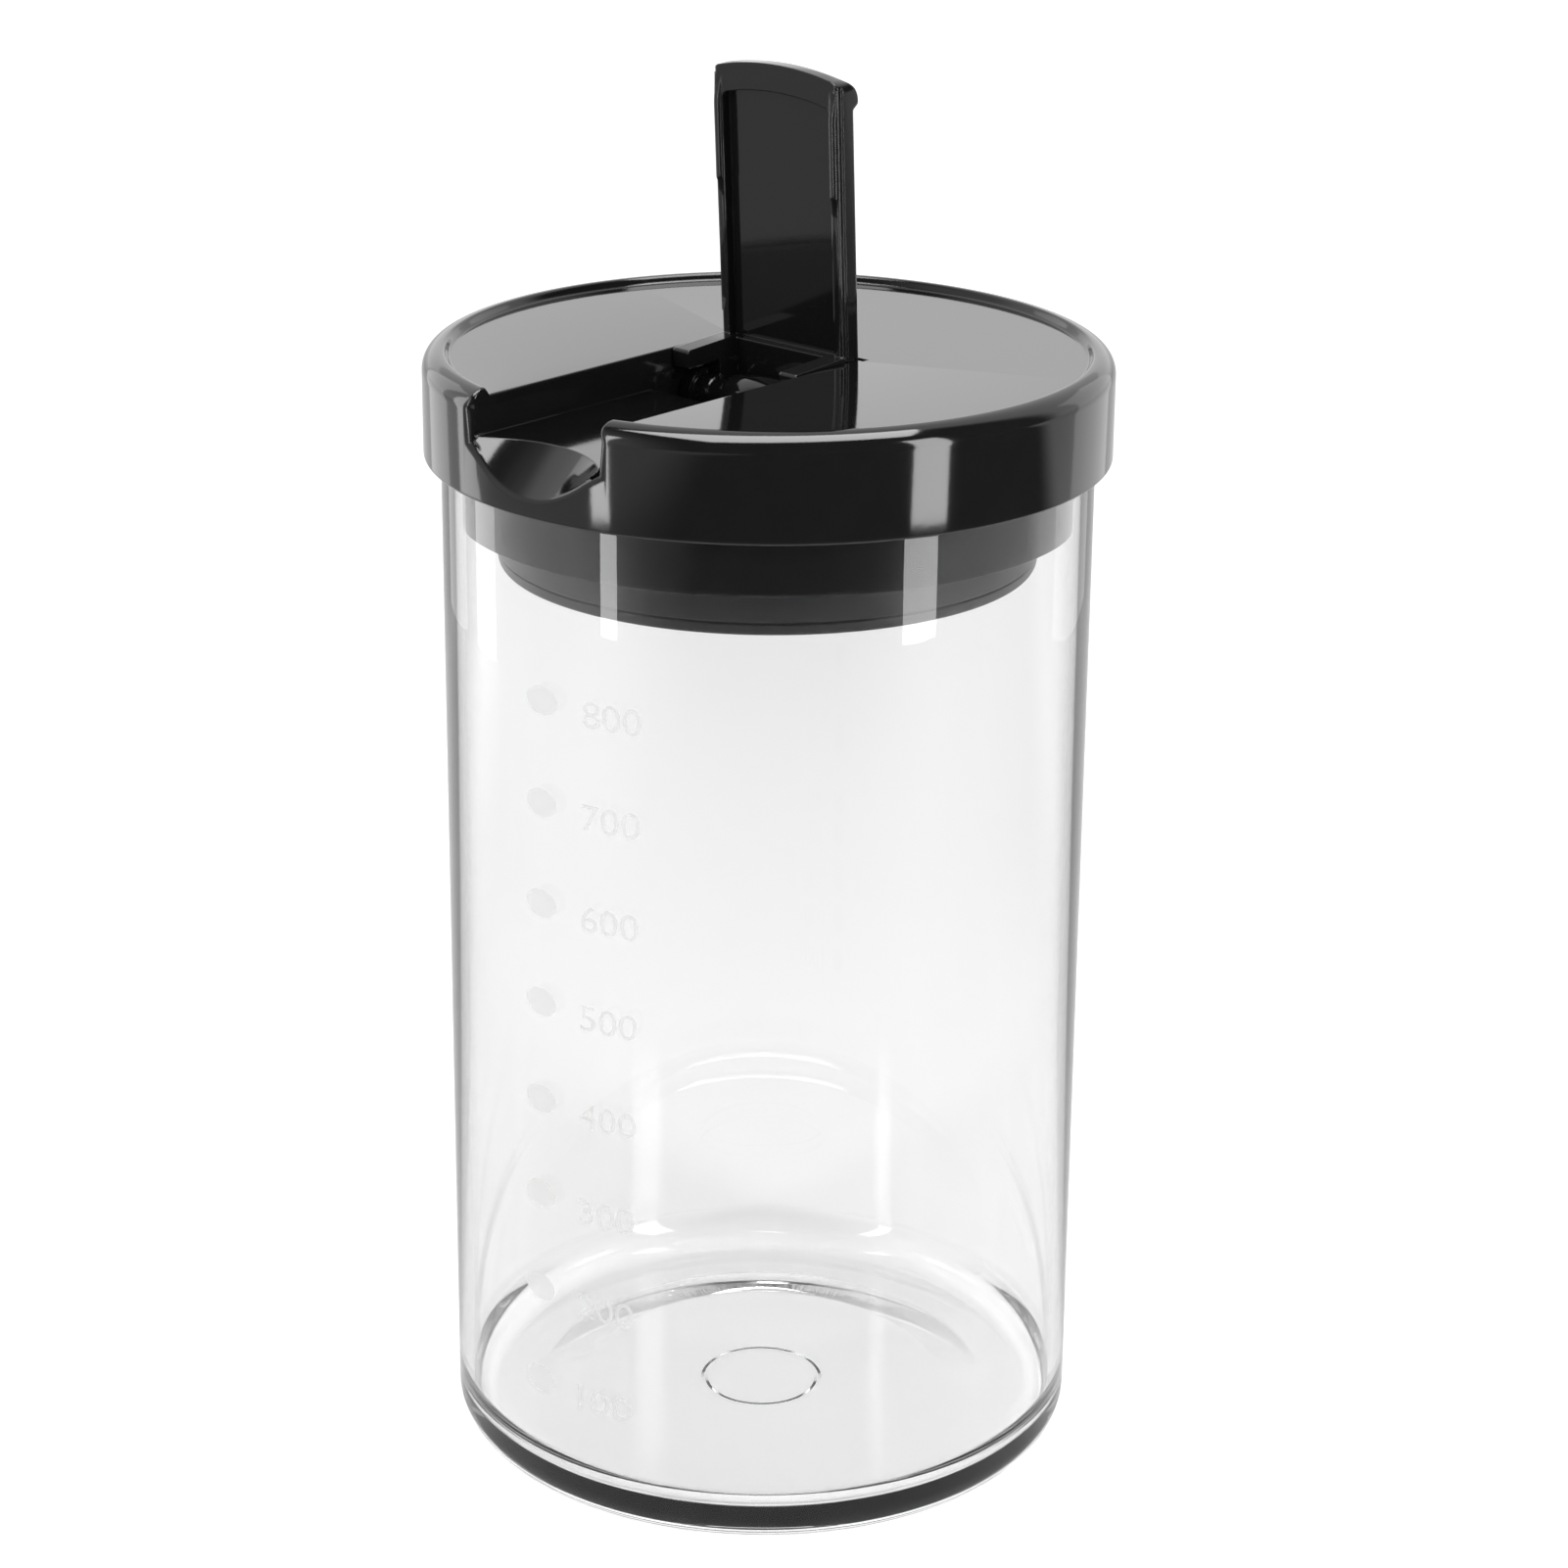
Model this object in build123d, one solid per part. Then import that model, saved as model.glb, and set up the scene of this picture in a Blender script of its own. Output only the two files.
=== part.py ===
"""Glass storage jar with a black pouring lid and a rocker flap, in millimetres.

The origin is the centre of the glass foot, on the surface it stands on. +Z is up, the spout points to -Y
and the flap turns about an axis along X. The flap is drawn closed and then turned to its rest pose, open.
"""
import os
from math import atan2, cos, degrees, hypot, radians, sin, sqrt, tan

from build123d import *

os.makedirs("parts", exist_ok=True)

# Glass
GLASS_R = 47.5
GLASS_WALL = 2.0
GLASS_H = 156.5
GLASS_BASE = 4.6
FOOT_FILLET = 5.5
INNER_FILLET = 6.0
PUNT_R = 33.0
PUNT_DEPTH = 0.7
MOULD_RING_R = 9.0

# Print on the glass
MARK_COUNT = 8
FIRST_MARK_Z = 21.1
MARK_PITCH = 15.28
OVAL_W = 5.9
OVAL_H = 4.2
OVAL_AZIMUTH = 269.2
NUMBER_AZIMUTH = 283.75
NUMBER_DROP = 0.42
PRINT_SKEW = 0.343
PRINT_GAP = 0.01
PRINT_T = 0.05
DIGIT_H = 3.9
DIGIT_W = 2.6
DIGIT_PITCH = 3.3
DIGIT_STROKE = 0.5

# Lid cap
LID_R = 50.0
LID_BOTTOM = 154.9
CREST_Z = 170.2
PLATE_Z = 169.1
PLATE_T = 2.2
BEAD_R = 46.75
BEAD_ROUND = 0.6
BEAD_FOOT_R = 46.05
BEAD_FOOT_ROUND = 0.5
SHOULDER = 2.9
SKIRT_T = 2.1
NECK_WALL_R = 40.9
NECK_WALL_T = 2.0
NECK_WALL_BOTTOM = 148.0
SEAT_RIB_IN = 44.4
SEAT_RIB_OUT = 45.9

# Channel, spout and pour hole
CHANNEL_HALF = 12.1
CHANNEL_FLOOR = 163.7
WALL = 2.0
MOUTH_FLARE = 1.6
HOLE_FRONT = -12.0
HOLE_REAR = 6.5
DUCT_BOTTOM = 153.0
SCOOP_R = 25.0
SCOOP_TILT = 42.0
SCOOP_START = -43.1
SPOUT_LIP = 157.5

# Seal and plug
SEAL_R = 45.2
SEAL_BOTTOM = 146.3
FLANGE_R = 47.2
FLANGE_LOW = 156.65
FLANGE_TOP = 157.6
PLUG_R = 40.3
PLUG_BOTTOM = 139.1
PLUG_FLOOR_T = 1.8
PLUG_TUBE_R = 38.8
PLUG_TUBE_IN = 37.0
PLUG_TOP = 152.0
PLUG_SHAFT_T = 1.8
SEAL_GROOVE_IN = 42.4
SEAL_GROOVE_OUT = 43.8
SEAL_GROOVE_TOP = 155.0

# Flap
PIVOT_Y = -1.2
PIVOT_Z = 161.6
OPEN_ANGLE = 87.0
FLAP_HALF = 11.85
FLAP_T = 3.2
FLAP_SKIN = 1.7
LIP_SIDE = 1.7
LIP_TIP = 4.0
KEEL = 0.6
KEEL_INSET = 0.12
KEEL_TIP = -47.6
KEEL_FULL = -43.5
KEEL_SNAP = -32.6
KEEL_END = -12.5
DRUM_R = 7.4
DRUM_IN = 4.9
BARREL_R = 4.1
BARREL_END_R = 3.5
BARREL_HALF = 6.9
SHAFT_R = 2.6
CHEEK_IN = 8.8
LUG_FRONT = -9.1
LUG_T = 2.8
LUG_DROP = 13.6
HUB_R = 2.8
TRUNNION_R = 3.5
TRUNNION_END = 13.45
RUNNING_GAP = 0.05
RECESS_X = 13.6
POCKET_TOP = 165.7
POCKET_LOW = 158.1
POCKET_REAR = -2.4


def rounded_face(corners, plane=Plane.XZ):
    """A closed face through (u, v, radius) corners; a radius of 0 leaves the corner sharp."""
    edges = []
    points = []
    count = len(corners)
    for i in range(count):
        u, v, radius = corners[i]
        before = Vector(*corners[i - 1][:2])
        after = Vector(*corners[(i + 1) % count][:2])
        here = Vector(u, v)
        if radius == 0:
            points.append((here, None, here))
            continue
        back = (before - here).normalized()
        on = (after - here).normalized()
        half = radians(back.get_angle(on)) / 2
        inward = (back + on).normalized()
        setback = radius / tan(half)
        middle = here + inward * (radius / sin(half) - radius)
        points.append((here + back * setback, middle, here + on * setback))
    for i in range(count):
        start, middle, end = (plane.from_local_coords(p) if p else None for p in points[i])
        if middle:
            edges.append(ThreePointArc(start, middle, end))
        following = plane.from_local_coords(points[(i + 1) % count][0])
        if (following - end).length > 1e-6:
            edges.append(Line(end, following))
    return make_face(edges)


def turned(corners):
    """A solid of revolution about Z from (radius, height, corner radius) points."""
    return revolve(rounded_face(corners), Axis.Z)


def block(low, high):
    """A box between two corners."""
    size = [high[i] - low[i] for i in range(3)]
    middle = [(high[i] + low[i]) / 2 for i in range(3)]
    return Pos(*middle) * Box(*size)


def rod_x(radius, x0, x1):
    """A cylinder along X on the flap's pivot."""
    return Pos((x0 + x1) / 2, PIVOT_Y, PIVOT_Z) * Rot(0, 90, 0) * Cylinder(radius, x1 - x0)


def slab_x(corners, x0, x1):
    """A (y, z, radius) outline drawn along X from x0 to x1."""
    return extrude(rounded_face(corners, Plane.YZ.offset(x0)), x1 - x0)


def glass_jar():
    inner = GLASS_R - GLASS_WALL
    rim = GLASS_WALL / 2 - 0.01
    body = turned([
        (0, PUNT_DEPTH, 0),
        (PUNT_R - 2, PUNT_DEPTH, 0.8),
        (PUNT_R, 0, 0.8),
        (GLASS_R, 0, FOOT_FILLET),
        (GLASS_R, GLASS_H, rim),
        (inner, GLASS_H, rim),
        (inner, GLASS_BASE, INNER_FILLET),
        (0, GLASS_BASE, 0),
    ])
    mould_ring = Pos(0, 0, PUNT_DEPTH) * Torus(MOULD_RING_R, 0.35)
    return body - mould_ring


def bar(x0, y0, x1, y1):
    """A straight stroke of a digit, from one centre point to the other."""
    length = hypot(x1 - x0, y1 - y0) + DIGIT_STROKE
    slope = degrees(atan2(y1 - y0, x1 - x0))
    return Pos((x0 + x1) / 2, (y0 + y1) / 2) * Rot(0, 0, slope) * Rectangle(length, DIGIT_STROKE)


def bowl(y_low, y_high):
    """An oval stroke as wide as the digit, between two centre-line heights."""
    half = (y_high - y_low) / 2
    edge = DIGIT_STROKE / 2
    wide = DIGIT_W / 2 - edge
    ring = Ellipse(wide + edge, half + edge) - Ellipse(wide - edge, half - edge)
    return Pos(DIGIT_W / 2, (y_low + y_high) / 2) * ring


def window(x0, y0, x1, y1):
    """The rectangle between two corners, to keep or cut part of a bowl."""
    return Pos((x0 + x1) / 2, (y0 + y1) / 2) * Rectangle(x1 - x0, y1 - y0)


def digit(value):
    """A plain upright digit with its lower left corner at the origin."""
    w, h, edge = DIGIT_W, DIGIT_H, DIGIT_STROKE / 2
    left, right, low, high = edge, w - edge, edge, h - edge
    waist = h * 0.54
    if value == 0:
        return bowl(low, high)
    if value == 1:
        return bar(w * 0.6, low, w * 0.6, high) + bar(w * 0.2, h * 0.76, w * 0.6, high)
    if value == 2:
        top = bowl(h * 0.42, high) - window(0, 0, w, h * 0.7)
        return top + bar(right, h * 0.7, left, low) + bar(left, low, right, low)
    if value == 3:
        bowls = bowl(waist, high) + bowl(low, waist)
        return bowls - window(0, h * 0.28, w * 0.42, h * 0.76)
    if value == 4:
        stem = bar(w * 0.7, low, w * 0.7, high)
        return stem + bar(left, h * 0.3, w * 0.66, high) + bar(left, h * 0.3, right, h * 0.3)
    if value == 5:
        lower = bowl(low, h * 0.62) - window(0, h * 0.22, w * 0.3, h * 0.5)
        back = left * 1.6
        return lower + bar(back, h * 0.54, back, high) + bar(back, high, right * 0.95, high)
    if value == 6:
        stem = bowl(low, high) - window(w * 0.5, 0, w, h) - window(0, 0, w, h * 0.3)
        cap = bowl(h * 0.3, high) - window(0, 0, w, h * 0.78)
        return bowl(low, h * 0.6) + stem + cap
    if value == 7:
        return bar(left, high, right, high) + bar(right, high, w * 0.36, low)
    return bowl(waist, high) + bowl(low, waist)


def wrap_print(sketch, azimuth, height):
    """A flat sketch printed on the glass wall at an azimuth and height."""
    face_plane = Plane(
        origin=(0, 0, height),
        x_dir=(-sin(radians(azimuth)), cos(radians(azimuth)), 0),
        z_dir=(cos(radians(azimuth)), sin(radians(azimuth)), 0),
    )
    low = GLASS_R - 2
    beam = extrude(face_plane.offset(low) * sketch, 4)
    span = DIGIT_H + 4
    skin_in = GLASS_R + PRINT_GAP
    skin = Pos(0, 0, height) * (Cylinder(skin_in + PRINT_T, span) - Cylinder(skin_in, span + 1))
    return beam & skin


def mark_place(k):
    """Height and skew of mark k, where k = 1 is the lowest."""
    return FIRST_MARK_Z + (k - 1) * MARK_PITCH, PRINT_SKEW * (k - (MARK_COUNT + 1) / 2)


def graduation_ovals():
    ovals = []
    for k in range(1, MARK_COUNT + 1):
        height, skew = mark_place(k)
        ovals += wrap_print(Ellipse(OVAL_W / 2, OVAL_H / 2), OVAL_AZIMUTH + skew, height).solids()
    return Compound(ovals)


def graduation_numbers():
    glyphs = []
    for k in range(1, MARK_COUNT + 1):
        height, skew = mark_place(k)
        for place, value in enumerate((k, 0, 0)):
            shift = (place - 1) * DIGIT_PITCH - DIGIT_W / 2
            sketch = Pos(shift, -DIGIT_H / 2) * digit(value)
            glyphs += wrap_print(sketch, NUMBER_AZIMUTH + skew, height - NUMBER_DROP).solids()
    return Compound(glyphs)


def lid_outside():
    """The lid's outer form, solid through, with the raised rim round its top."""
    return turned([
        (0, LID_BOTTOM, 0),
        (LID_R, LID_BOTTOM, 0.4),
        (LID_R, CREST_Z, SHOULDER),
        (BEAD_R, CREST_Z, BEAD_ROUND),
        (BEAD_FOOT_R, PLATE_Z, BEAD_FOOT_ROUND),
        (0, PLATE_Z, 0),
    ])


def channel_tool():
    """What the channel and the flared mouth of the spout remove, above the channel floor."""
    half = CHANNEL_HALF
    wide = half + MOUTH_FLARE
    mouth = -sqrt((LID_R - 0.2) ** 2 - wide ** 2)
    start = mouth + MOUTH_FLARE
    outline = [
        Line((half, HOLE_FRONT), (half, start)),
        ThreePointArc(
            (half, start),
            (wide - MOUTH_FLARE * cos(radians(45)), start - MOUTH_FLARE * sin(radians(45))),
            (wide, mouth),
        ),
        Line((wide, mouth), (wide, -LID_R - 3)),
        Line((wide, -LID_R - 3), (-wide, -LID_R - 3)),
        Line((-wide, -LID_R - 3), (-wide, mouth)),
        ThreePointArc(
            (-wide, mouth),
            (-wide + MOUTH_FLARE * cos(radians(45)), start - MOUTH_FLARE * sin(radians(45))),
            (-half, start),
        ),
        Line((-half, start), (-half, HOLE_FRONT)),
        Line((-half, HOLE_FRONT), (half, HOLE_FRONT)),
    ]
    plan = make_face(outline)
    return extrude(Pos(0, 0, CHANNEL_FLOOR) * plan, 10)


def scoop_tool():
    """A tilted cylinder that hollows the spout from the channel floor down to its lip."""
    length = 40
    slope = radians(SCOOP_TILT)
    centre_y = SCOOP_START - SCOOP_R * sin(slope)
    centre_z = CHANNEL_FLOOR + SCOOP_R * cos(slope)
    drum = Pos(0, centre_y, centre_z) * Rot(90 + SCOOP_TILT, 0, 0) * Cylinder(SCOOP_R, length * 2)
    mouth = CHANNEL_HALF + MOUTH_FLARE
    keep = block((-mouth, -LID_R - 3, SPOUT_LIP - 3), (mouth, SCOOP_START + 1.5, CHANNEL_FLOOR + 4))
    return drum & keep


def lid_cap():
    neck_in = NECK_WALL_R - NECK_WALL_T
    under = PLATE_Z - PLATE_T
    skirt_in = LID_R - SKIRT_T
    neck = turned([
        (0, NECK_WALL_BOTTOM, 0),
        (NECK_WALL_R, NECK_WALL_BOTTOM, 0.4),
        (NECK_WALL_R, under, 0),
        (0, under, 0),
    ])
    inner_hollow = turned([
        (0, NECK_WALL_BOTTOM - 1, 0),
        (neck_in, NECK_WALL_BOTTOM - 1, 0),
        (neck_in, under, 0.8),
        (0, under, 0),
    ])
    outer_hollow = turned([
        (NECK_WALL_R, LID_BOTTOM - 1, 0),
        (NECK_WALL_R, under, 0.8),
        (SEAT_RIB_IN, under, 0.8),
        (SEAT_RIB_IN, FLANGE_TOP + RUNNING_GAP, 0),
        (SEAT_RIB_OUT, FLANGE_TOP + RUNNING_GAP, 0),
        (SEAT_RIB_OUT, under - 1.4, 0.6),
        (skirt_in, under - 1.4, 0.6),
        (skirt_in, LID_BOTTOM - 1, 0),
    ])
    outer_wall = RECESS_X + WALL
    duct = block((-outer_wall, HOLE_FRONT - WALL, DUCT_BOTTOM), (outer_wall, HOLE_REAR + WALL, under + 1))
    trough = block(
        (-CHANNEL_HALF - WALL, -LID_R, CHANNEL_FLOOR - WALL),
        (CHANNEL_HALF + WALL, HOLE_FRONT, under + 1),
    )
    spout_block = block(
        (-outer_wall, -LID_R, FLANGE_TOP + RUNNING_GAP),
        (outer_wall, SCOOP_START + 2.6, under + 1),
    )
    hollows = inner_hollow + outer_hollow - duct - trough - spout_block
    hole = block((-CHANNEL_HALF, HOLE_FRONT, DUCT_BOTTOM - 1), (CHANNEL_HALF, HOLE_REAR, CREST_Z + 1))
    body = lid_outside() + neck - hollows - channel_tool() - scoop_tool() - hole
    bearing = rod_x(TRUNNION_R + RUNNING_GAP, -RECESS_X, RECESS_X)
    pocket = block((-RECESS_X, HOLE_FRONT, POCKET_LOW), (RECESS_X, POCKET_REAR, POCKET_TOP))
    return body - bearing - pocket


def seal_ring():
    """The soft ring between plug and glass, with a flange over the glass rim and a groove underneath."""
    inner = NECK_WALL_R + 0.1
    lip_in = PLUG_TUBE_R + 0.2
    return turned([
        (lip_in, SEAL_BOTTOM, 0.3),
        (SEAL_GROOVE_IN, SEAL_BOTTOM, 0.3),
        (SEAL_GROOVE_IN, SEAL_GROOVE_TOP, 0.4),
        (SEAL_GROOVE_OUT, SEAL_GROOVE_TOP, 0.4),
        (SEAL_GROOVE_OUT, SEAL_BOTTOM, 0.3),
        (SEAL_R, SEAL_BOTTOM, 0.5),
        (SEAL_R, FLANGE_LOW, 0.2),
        (FLANGE_R, FLANGE_LOW, 0.3),
        (FLANGE_R, FLANGE_TOP, 0.3),
        (inner, FLANGE_TOP, 0.3),
        (inner, NECK_WALL_BOTTOM - RUNNING_GAP, 0),
        (lip_in, NECK_WALL_BOTTOM - RUNNING_GAP, 0.3),
    ])


def plug_insert():
    """The cup that fills the neck, with a square shaft that meets the lid's duct above."""
    floor_top = PLUG_BOTTOM + PLUG_FLOOR_T
    shoulder = SEAL_BOTTOM - RUNNING_GAP
    groove_z = PLUG_BOTTOM + 1.6
    cup = turned([
        (0, PLUG_BOTTOM, 0),
        (PLUG_R - 0.3, PLUG_BOTTOM, 0.6),
        (PLUG_R - 0.3, groove_z, 0),
        (PLUG_R - 0.6, groove_z, 0),
        (PLUG_R - 0.6, groove_z + 0.4, 0),
        (PLUG_R, groove_z + 0.4, 0.15),
        (PLUG_R, shoulder, 0.3),
        (PLUG_TUBE_R, shoulder, 0),
        (PLUG_TUBE_R, PLUG_TOP, 0.3),
        (PLUG_TUBE_IN, PLUG_TOP, 0.3),
        (PLUG_TUBE_IN, shoulder - 1.6, 0.5),
        (PLUG_TUBE_R - 0.3, shoulder - 3.1, 0.5),
        (PLUG_TUBE_R - 0.3, floor_top, 0.8),
        (0, floor_top, 0),
    ])
    shaft_side = CHANNEL_HALF + PLUG_SHAFT_T
    shaft = block(
        (-shaft_side, HOLE_FRONT - PLUG_SHAFT_T, PLUG_BOTTOM + 0.5),
        (shaft_side, HOLE_REAR + PLUG_SHAFT_T, DUCT_BOTTOM - RUNNING_GAP),
    )
    pour_window = block(
        (-CHANNEL_HALF, HOLE_FRONT, PLUG_BOTTOM - 1),
        (CHANNEL_HALF, HOLE_REAR, DUCT_BOTTOM + 1),
    )
    return cup + shaft - pour_window


def flap_plate():
    """The long plate with the rim's raised bead at its tip, hollowed underneath between side and tip lips."""
    under = PLATE_Z - FLAP_T
    plate = lid_outside() & block((-FLAP_HALF, -LID_R - 1, under), (FLAP_HALF, PIVOT_Y, CREST_Z + 1))
    inside = FLAP_HALF - LIP_SIDE
    recess = block((-inside, -LID_R, under - 1), (inside, LUG_FRONT + 0.3, PLATE_Z - FLAP_SKIN))
    tip_arc = Cylinder(LID_R - LIP_TIP, 400)
    recess = fillet((recess & tip_arc).edges().filter_by(Axis.Z), 1.2)
    return plate - recess


def lip_keel(side):
    """The rib under one side lip: deepest near the tip, with a small step where it snaps into the channel."""
    under = PLATE_Z - FLAP_T
    inner = FLAP_HALF - LIP_SIDE + KEEL_INSET
    near, far = sorted((side * inner, side * (FLAP_HALF - KEEL_INSET)))
    return slab_x([
        (KEEL_TIP, under + 0.4, 0),
        (KEEL_TIP, under - 0.02, 0),
        (KEEL_FULL, under - KEEL, 0),
        (KEEL_SNAP, under - KEEL, 0),
        (KEEL_SNAP + 0.8, under - KEEL / 2, 0),
        (KEEL_END, under - 0.02, 0),
        (KEEL_END, under + 0.4, 0),
    ], near, far)


def hinge_drum():
    """The quarter shell behind the pivot, one radius from the rear wall of the pour hole all the way."""
    shell = rod_x(DRUM_R, -FLAP_HALF, FLAP_HALF) - rod_x(DRUM_IN, -FLAP_HALF - 1, FLAP_HALF + 1)
    quarter = block(
        (-FLAP_HALF - 1, PIVOT_Y, PIVOT_Z),
        (FLAP_HALF + 1, PIVOT_Y + DRUM_R + 1, PIVOT_Z + DRUM_R + 1),
    )
    return shell & quarter


def hinge_barrel():
    """The rounded barrel on the pivot, between the cheeks, on a thinner shaft."""
    swell = ThreePointArc((-BARREL_HALF, BARREL_END_R), (0, BARREL_R), (BARREL_HALF, BARREL_END_R))
    outline = [
        swell,
        Line((BARREL_HALF, BARREL_END_R), (BARREL_HALF, 0)),
        Line((BARREL_HALF, 0), (-BARREL_HALF, 0)),
        Line((-BARREL_HALF, 0), (-BARREL_HALF, BARREL_END_R)),
    ]
    barrel = revolve(make_face(outline), Axis.X)
    ends = barrel.edges().filter_by(GeomType.CIRCLE)
    barrel = fillet(ends, 2.2)
    return Pos(0, PIVOT_Y, PIVOT_Z) * barrel + rod_x(SHAFT_R, -CHEEK_IN - 1, CHEEK_IN + 1)


def cheek(side):
    """One cheek: the lug that drops from the plate, the web and hub behind it, and the trunnion."""
    under = PLATE_Z - FLAP_T
    near, far = sorted((side * CHEEK_IN, side * FLAP_HALF))
    lug_low = PLATE_Z - LUG_DROP
    lug = slab_x([
        (LUG_FRONT, under + 0.5, 0),
        (LUG_FRONT, lug_low, 0.5),
        (LUG_FRONT + LUG_T, lug_low, 0.5),
        (LUG_FRONT + LUG_T, under + 0.5, 0),
    ], near, far)
    web = block((near, LUG_FRONT + LUG_T - 0.5, PIVOT_Z + 0.6), (far, PIVOT_Y, under + 0.5))
    corner = block((near, PIVOT_Y - 0.5, PIVOT_Z), (far, PIVOT_Y + DRUM_R, PIVOT_Z + DRUM_R))
    web += rod_x(DRUM_IN + 0.4, near, far) & corner
    hub = rod_x(HUB_R, near, far)
    start, end = sorted((side * (FLAP_HALF - 0.5), side * TRUNNION_END))
    trunnion = rod_x(TRUNNION_R, start, end)
    return lug + web + hub + trunnion


def pour_flap():
    """The flap as it rests in the photograph: turned open about its trunnions."""
    closed = flap_plate() + hinge_drum() + hinge_barrel()
    for side in (-1, 1):
        closed += cheek(side) + lip_keel(side)
    pivot = Axis((0, PIVOT_Y, PIVOT_Z), (1, 0, 0))
    return closed.rotate(pivot, -OPEN_ANGLE)


def save(name, shape):
    export_step(shape, f"parts/{name}.step")


save("glass_jar", glass_jar())
save("graduation_ovals", graduation_ovals())
save("graduation_numbers", graduation_numbers())
save("lid_cap", lid_cap())
save("seal_ring", seal_ring())
save("plug_insert", plug_insert())
save("pour_flap", pour_flap())
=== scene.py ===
"""Looks of the glass storage jar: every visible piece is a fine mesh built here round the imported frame.

Lengths are in millimetres while a mesh is built; finish_piece() turns them into metres.
"""
import math

import bmesh
import bpy
from mathutils import Matrix, Vector


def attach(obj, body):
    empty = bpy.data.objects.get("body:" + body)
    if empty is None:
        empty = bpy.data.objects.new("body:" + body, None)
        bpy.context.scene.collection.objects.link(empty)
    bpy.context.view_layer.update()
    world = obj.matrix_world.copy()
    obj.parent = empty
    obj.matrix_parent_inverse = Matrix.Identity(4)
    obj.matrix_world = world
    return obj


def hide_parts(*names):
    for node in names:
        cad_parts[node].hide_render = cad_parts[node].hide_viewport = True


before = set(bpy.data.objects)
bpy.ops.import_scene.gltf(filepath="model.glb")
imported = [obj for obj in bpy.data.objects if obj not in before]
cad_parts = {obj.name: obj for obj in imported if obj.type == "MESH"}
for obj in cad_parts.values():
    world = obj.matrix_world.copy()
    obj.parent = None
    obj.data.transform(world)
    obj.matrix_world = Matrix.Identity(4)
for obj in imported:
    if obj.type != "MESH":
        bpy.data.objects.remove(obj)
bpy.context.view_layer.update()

MM = 0.001

# Steps round a turned form, a rod and a rounded corner
STEPS = 360
ROD_STEPS = 96
ARC_STEPS = 8
LID_ARC_STEPS = 16
GLASS_ARC_STEPS = 14

# Points closer than these are one point, and a radius below ON_AXIS is on the axis
WELD = 1e-5
FINISH_WELD = 2e-4
ON_AXIS = 1e-9

# How far a tool reaches past the surface that it cuts
PAST = 1.0

# The steepest turn between two faces that still shades smoothly, in degrees
SMOOTH_ANGLE = 35
GLASS_SMOOTH_ANGLE = 60

# Glass
GLASS_R = 47.5
GLASS_WALL = 2.0
GLASS_H = 156.5
GLASS_BASE = 4.6
FOOT_FILLET = 5.5
INNER_FILLET = 6.0
PUNT_R = 33.0
PUNT_DEPTH = 0.7
PUNT_SLOPE = 5.0
PUNT_ROUND = 12.0
MOULD_RING_R = 9.0
MOULD_RING_HALF = 0.6
MOULD_RING_H = 0.2
MOULD_RING_ROUND = 0.3
RIM_FLAT = 0.02

# Print
MARK_COUNT = 8
FIRST_MARK_Z = 21.1
MARK_PITCH = 15.28
OVAL_W = 5.9
OVAL_H = 4.2
OVAL_STEPS = 64
OVAL_CUTS = 12
OVAL_AZIMUTH = 269.2
NUMBER_AZIMUTH = 283.75
NUMBER_DROP = 0.42
PRINT_SKEW = 0.343
PRINT_GAP = 0.01
PRINT_T = 0.015
DIGIT_H = 3.9
NUMBER_W = 9.3
DIGIT_CURVE_STEPS = 6

# Lid cap
LID_R = 50.0
LID_BOTTOM = 154.9
CREST_Z = 170.2
PLATE_Z = 169.1
PLATE_T = 2.2
BEAD_R = 46.75
BEAD_ROUND = 0.6
BEAD_FOOT_R = 46.05
BEAD_FOOT_ROUND = 0.5
LID_EDGE = 0.4
SHOULDER = 2.9
SKIRT_T = 2.1
NECK_WALL_R = 40.9
NECK_WALL_T = 2.0
NECK_WALL_BOTTOM = 148.0
NECK_EDGE = 0.4
SEAT_RIB_IN = 44.4
SEAT_RIB_OUT = 45.9
HOLLOW_ROUND = 0.8
EAVES_DROP = 1.4
EAVES_ROUND = 0.6

# Channel, spout and pour hole
CHANNEL_HALF = 12.1
CHANNEL_FLOOR = 163.7
WALL = 2.0
HOLE_FRONT = -12.0
HOLE_REAR = 6.5
DUCT_BOTTOM = 153.0
SCOOP_R = 25.0
SCOOP_REACH = 40
SCOOP_STEPS = 512
SCOOP_TILT = 42.0
SCOOP_START = -43.1
SPOUT_LIP = 157.5
SPOUT_WALL = 2.6
SPOUT_WALL_EXTRA = 0.1
NOTCH_ROUND = 1.5
NOSE_ROUND = 0.5
EDGE_SOFT = 0.3
SPOUT_ROUND = 1.1
SPOUT_EDGE_STEPS = 64
SPOUT_END_POWER = 6
FILLET_STEPS = 10
FILLET_CLEAR = 0.15

# The rolled edge: how far over the scoop it starts, where its radius blends round the plate's height, its
# last stations along the channel, its arc's steps, and the spout sections left out at each mitred corner
EDGE_START = 0.2
BLEND_DROP = 1.6
BLEND_SPAN = 2.2
EDGE_STATIONS = (-43.0, -30.0, HOLE_REAR)
EDGE_ARC_STEPS = 24
MITRE_SKIP = 4

# Pry slots at the rear of the pour hole
PRY_SLOT_W = 1.1
PRY_SLOT_L = 1.1
PRY_SLOT_DEPTH = 1.2
PRY_SLOT_OVERLAP = 0.5

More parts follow.
